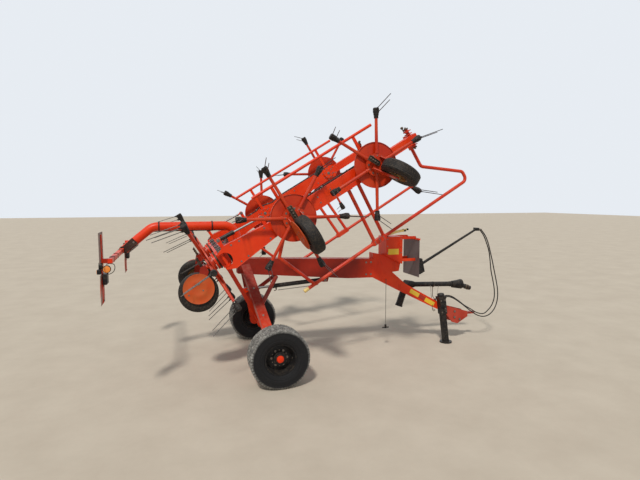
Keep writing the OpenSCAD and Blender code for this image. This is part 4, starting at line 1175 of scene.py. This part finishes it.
def add_drive_shaft_details():
    """Bellows, collars, yoke and chains of the parked drive shaft and its drop."""
    ribs, chain, yoke = shapes(3)
    for x0, z0, x1, z1, r0, r1, count in ((2.43, 0.961, 2.59, 0.954, 0.075, 0.052, 7),
                                          (3.33, 0.914, 3.52, 0.912, 0.052, 0.082, 8),
                                          (2.44, 0.945, 2.33, 0.625, 0.055, 0.055, 11)):
        bellows(ribs, carriage(x0, DRIVE_Y, z0), carriage(x1, DRIVE_Y, z1), r0, r1, count)
    rear, front = carriage(2.5, DRIVE_Y, 0.958), carriage(3.42, DRIVE_Y, 0.918)
    for share in (0.12, 0.5, 0.86):
        ribs.ring(axes_at(rear.lerp(front, share), front - rear, Y), 0.0415, 0.0455, -0.01, 0.01, 36, 0.002)
    # Yoke at the front end, past the guard
    end = carriage(3.7, DRIVE_Y, 0.83)
    way = (end - carriage(3.48, DRIVE_Y, 0.908)).normalized()
    yoke.lathe(axes_at(end, way, Y), [(0.018, -0.02), (0.036, -0.02), (0.036, 0.0015), (0.03, 0.003),
                                      (0.018, 0.003)], 32)
    for back, r in ((0.052, 0.045), (0.098, 0.0425)):
        yoke.lathe(axes_at(end - back * way, way, Y), [
            (0.0375, -0.013), (r - 0.002, -0.013), (r, -0.01), (r, 0.01), (r - 0.002, 0.013), (0.0375, 0.013)], 32)
    yoke.drum(axes_at(end - 0.052 * way + 0.044 * Y, Y, X), 0.006, 0.0, 0.012, 12, 0.002)
    # Two chains that keep the guard from turning
    for top, low, sag in (((2.9, 0.128, 0.925), (2.868, 0.03, 0.728), 0.05),
                          ((3.05, 0.128, 0.918), (2.935, 0.02, 0.69), 0.06)):
        hang_chain(chain, carriage(*top), carriage(*low), sag)
    ribs.piece("shaft_bellows", "black", slot="black_steel")
    chain.piece("guard_chains", "bolt", slot="black_steel")
    yoke.piece("shaft_yoke", "cast", slot="black_steel")


STAND_TOP = (2.965, -0.13, 0.64)
STAND_LEAN = radians(8)


def add_stand_details():
    m = axes_at(carriage(*STAND_TOP), (-sin(STAND_LEAN), 0, cos(STAND_LEAN)), X)
    cap, pins = shapes(2)
    cap.lathe(m @ at(0, 0, 0.152), [(AXIS, 0.0), (0.052, 0.0), (0.056, 0.004), (0.056, 0.03), (0.048, 0.042),
                                    (0.02, 0.047), (AXIS, 0.047)], 36)
    cap.drum(m, 0.03, 0.13, 0.153, 20)
    cap.piece("stand_cap", "black", "stand", "black_steel")
    # Locking pin through the sleeve, with its ring, and the sleeve's bolts
    pins.tube([m @ Vector((0, y, -0.04)) for y in (-0.096, -0.11)], 0.009, 16)
    pins.ring(m @ axes_at((0, -0.105, -0.062), X, Y), 0.02, 0.024, -0.002, 0.002, 28)
    for z in (-0.11, 0.085):
        for x in (-0.036, 0.036):
            pins.bolt(m @ axes_at((x, -0.055, z), -Y, X), 0.008)
    pins.piece("stand_pins", "bolt", slot="black_steel")


BOOM_Z, BOOM_R, CROSSBAR_Z, BOARD_Y = 2.013, 0.06, 1.706, 1.19


def add_boom_details():
    """What sits on the rear boom, on its bracket and crossbar and on the boards."""
    collars, straps, cable, bolts, welds, bracket = shapes(6)
    for x in (-0.724, -1.1, -1.44):
        m = facing(x, 0, BOOM_Z, X, Z)
        collars.ring(m, BOOM_R + 0.0075, BOOM_R + 0.0095, -0.0085, 0.0085, 36)
        bolts.bolt(m @ axes_at((-BOOM_R - 0.01, 0, 0), -X, Y), 0.007)
    # Cable along the boom to the lamps
    under = BOOM_Z - BOOM_R - 0.006
    line = ((-0.52, under), (-1.0, under), (-1.43, under), (-1.56, 1.938), (-1.79, 1.732), (-1.868, 1.682))
    cable.tube([carriage(x, 0.012, z) for x, z in line], 0.006, 8)
    for s in (1, -1):
        line = ((-1.868, 0.012, 1.682), (-1.9, 0.1 * s, 1.676), (-1.905, 0.6 * s, 1.676),
                (-1.915, 1.1 * s, 1.676), (-1.965, 1.16 * s, 1.662))
        cable.tube(smooth_line([carriage(*p) for p in line], 4), 0.0045, 8)
        for y in (0.28, 0.7, 1.05):
            straps.box(facing(-1.915, s * y, CROSSBAR_Z, Y, X), (0.054, 0.062, 0.009), 0.001)
        for z in (1.262, 1.425):
            for y in (-0.016, 0.016):
                for x, way in ((-2.0105, -X), (-1.9955, X)):
                    bolts.bolt(facing(x, s * BOARD_Y + y, z, way, Y), 0.006)
        side_weld(welds, s * 1.168, ((-1.9405, 1.683), (-1.9405, 1.729)), 0.003)
        # Side plate of the dark bracket that holds the crossbar under the boom's end
        plate = ((-1.712, 1.793), (-1.786, 1.868), (-1.905, 1.758), (-1.95, 1.738), (-1.95, 1.664), (-1.868, 1.664))
        bracket.prism(axes_at(carriage(0, s * 0.0655, 0), Y, X), [(x, -z) for x, z in plate], -0.004, 0.004)
        for x, z in ((-1.768, 1.808), (-1.915, CROSSBAR_Z)):
            bolts.bolt(facing(x, s * 0.0695, z, s * Y, X), 0.009)
        # Foot of the boom on the main beam
        for x in (-0.362, -0.228):
            bolts.bolt(facing(x, s * 0.064, 1.544), 0.011)
    collars.piece("boom_collars", "black")
    straps.piece("cable_straps", "black", slot="black_steel")
    # Web between the bracket's plates, under the boom
    down = Vector((0.6385, 0, -0.7696))
    bracket.box(axes_at(carriage(-1.818, 0, 1.766) + 0.068 * down, down, X), (0.15, 0.139, 0.008))
    cable.piece("boom_cable", "hose", slot="black_steel")
    bracket.piece("boom_bracket", "iron", slot="black_steel")
    bolts.piece("boom_bolts", "bolt")
    welds.piece("boom_welds", "paint")
    add_lamps()


def add_lamps():
    """Faces of the round lamps and the flat tail lamps, a socket box in front of each board, and a side lamp."""
    lens, housings = shapes(2)
    for s in (1, -1):
        y = s * BOARD_Y
        lens.box(facing(-2.052, y, 1.588, -X, Y), (0.098, 0.044, 0.004), 0.003)
        housings.box(facing(-2.03, y, 1.588, -X, Y), (0.106, 0.052, 0.034), 0.004)
        housings.box(facing(-1.972, y, 1.505, Y, X), (0.048, 0.12, 0.112), 0.008)
        m = facing(-2.006, y, 1.652, -X, Y)
        housings.ring(m, 0.0375, 0.041, -0.0145, 0.0145, 36, 0.0025)
        side_lamp = facing(-1.95, s * 1.234, 1.618, s * Y, X)
        housings.drum(side_lamp, 0.043, -0.014, 0.01, 36, 0.003)
        housings.box(facing(-1.972, s * 1.2165, 1.618, Y, X), (0.06, 0.03, 0.006))
        for face, h in ((m, 0.0145), (m @ FLIP, 0.0145), (side_lamp, 0.01)):
            lens.lathe(face, [(AXIS, h - 0.002), (0.0375, h - 0.002), (0.0365, h + 0.001), (0.024, h + 0.004),
                              (AXIS, h + 0.005)], 36)
        loop = ((-1.92, 1.205, 1.676), (-1.88, 1.212, 1.668), (-1.868, 1.218, 1.63), (-1.885, 1.22, 1.585),
                (-1.93, 1.222, 1.56), (-1.95, 1.224, 1.582), (-1.95, 1.226, 1.6))
        housings.tube(smooth_line([carriage(ax, s * ay, z) for ax, ay, z in loop], 4), 0.004, 8)
    lens.piece("lamp_lenses", "amber", "carriage", "lamp")
    housings.piece("lamp_housings", "black", "carriage", "lamp")


def add_carriage_details():
    """Tipping shaft's ends, bolts and welds of the slanting legs, and the plates' bolts on the main beam."""
    bolts, welds = shapes(2)
    pin_ends(bolts, carriage(0.96, 0, 1.15), Y, 0.0565, 0.013)
    for s in (1, -1):
        top, foot = carriage(-0.27, s * 0.06, 1.42), carriage(0.0, s * 0.87, 0.385)
        d = (foot - top).normalized()
        wide = square_to(X, d)
        out = wide.cross(d)
        out *= copysign(1, out.y * s)
        for share in (0.3, 0.62, 0.86):
            bolts.bolt(axes_at(top.lerp(foot, share) + 0.0455 * out, out, wide), 0.009)
        weld(welds, [top.lerp(foot, 0.09) + 0.0655 * e * wide + 0.044 * out for e in (-1, 1)], 0.004)
        ring_weld(welds, facing(0.0, s * 0.828, 0.385, s * Y), 0.076, 0.004, 36)
        for x in (1.62, 1.7):
            for z in (1.4, 1.21):
                bolts.bolt(facing(x, s * 0.09, z, s * Y), 0.01)
    bolts.piece("carriage_bolts", "bolt")
    welds.piece("carriage_welds", "carriage")


dress_nodes()
add_camera()
add_hoses()
add_pull_cord()
add_light()
add_floor()
for side_name in SIDES:
    add_road_tyre(side_name)
    add_rim_details(side_name)
    for rotor_place in PLACES:
        add_gauge_wheel(side_name, rotor_place)
        add_tines(side_name, rotor_place)
        add_rotor_details(side_name, rotor_place)
        add_fork_details(side_name, rotor_place)
    add_wing_details(side_name)
add_centre_details()
add_cylinders()
add_drawbar_details()
add_head_details()
add_drive_shaft_details()
add_stand_details()
add_boom_details()
add_carriage_details()
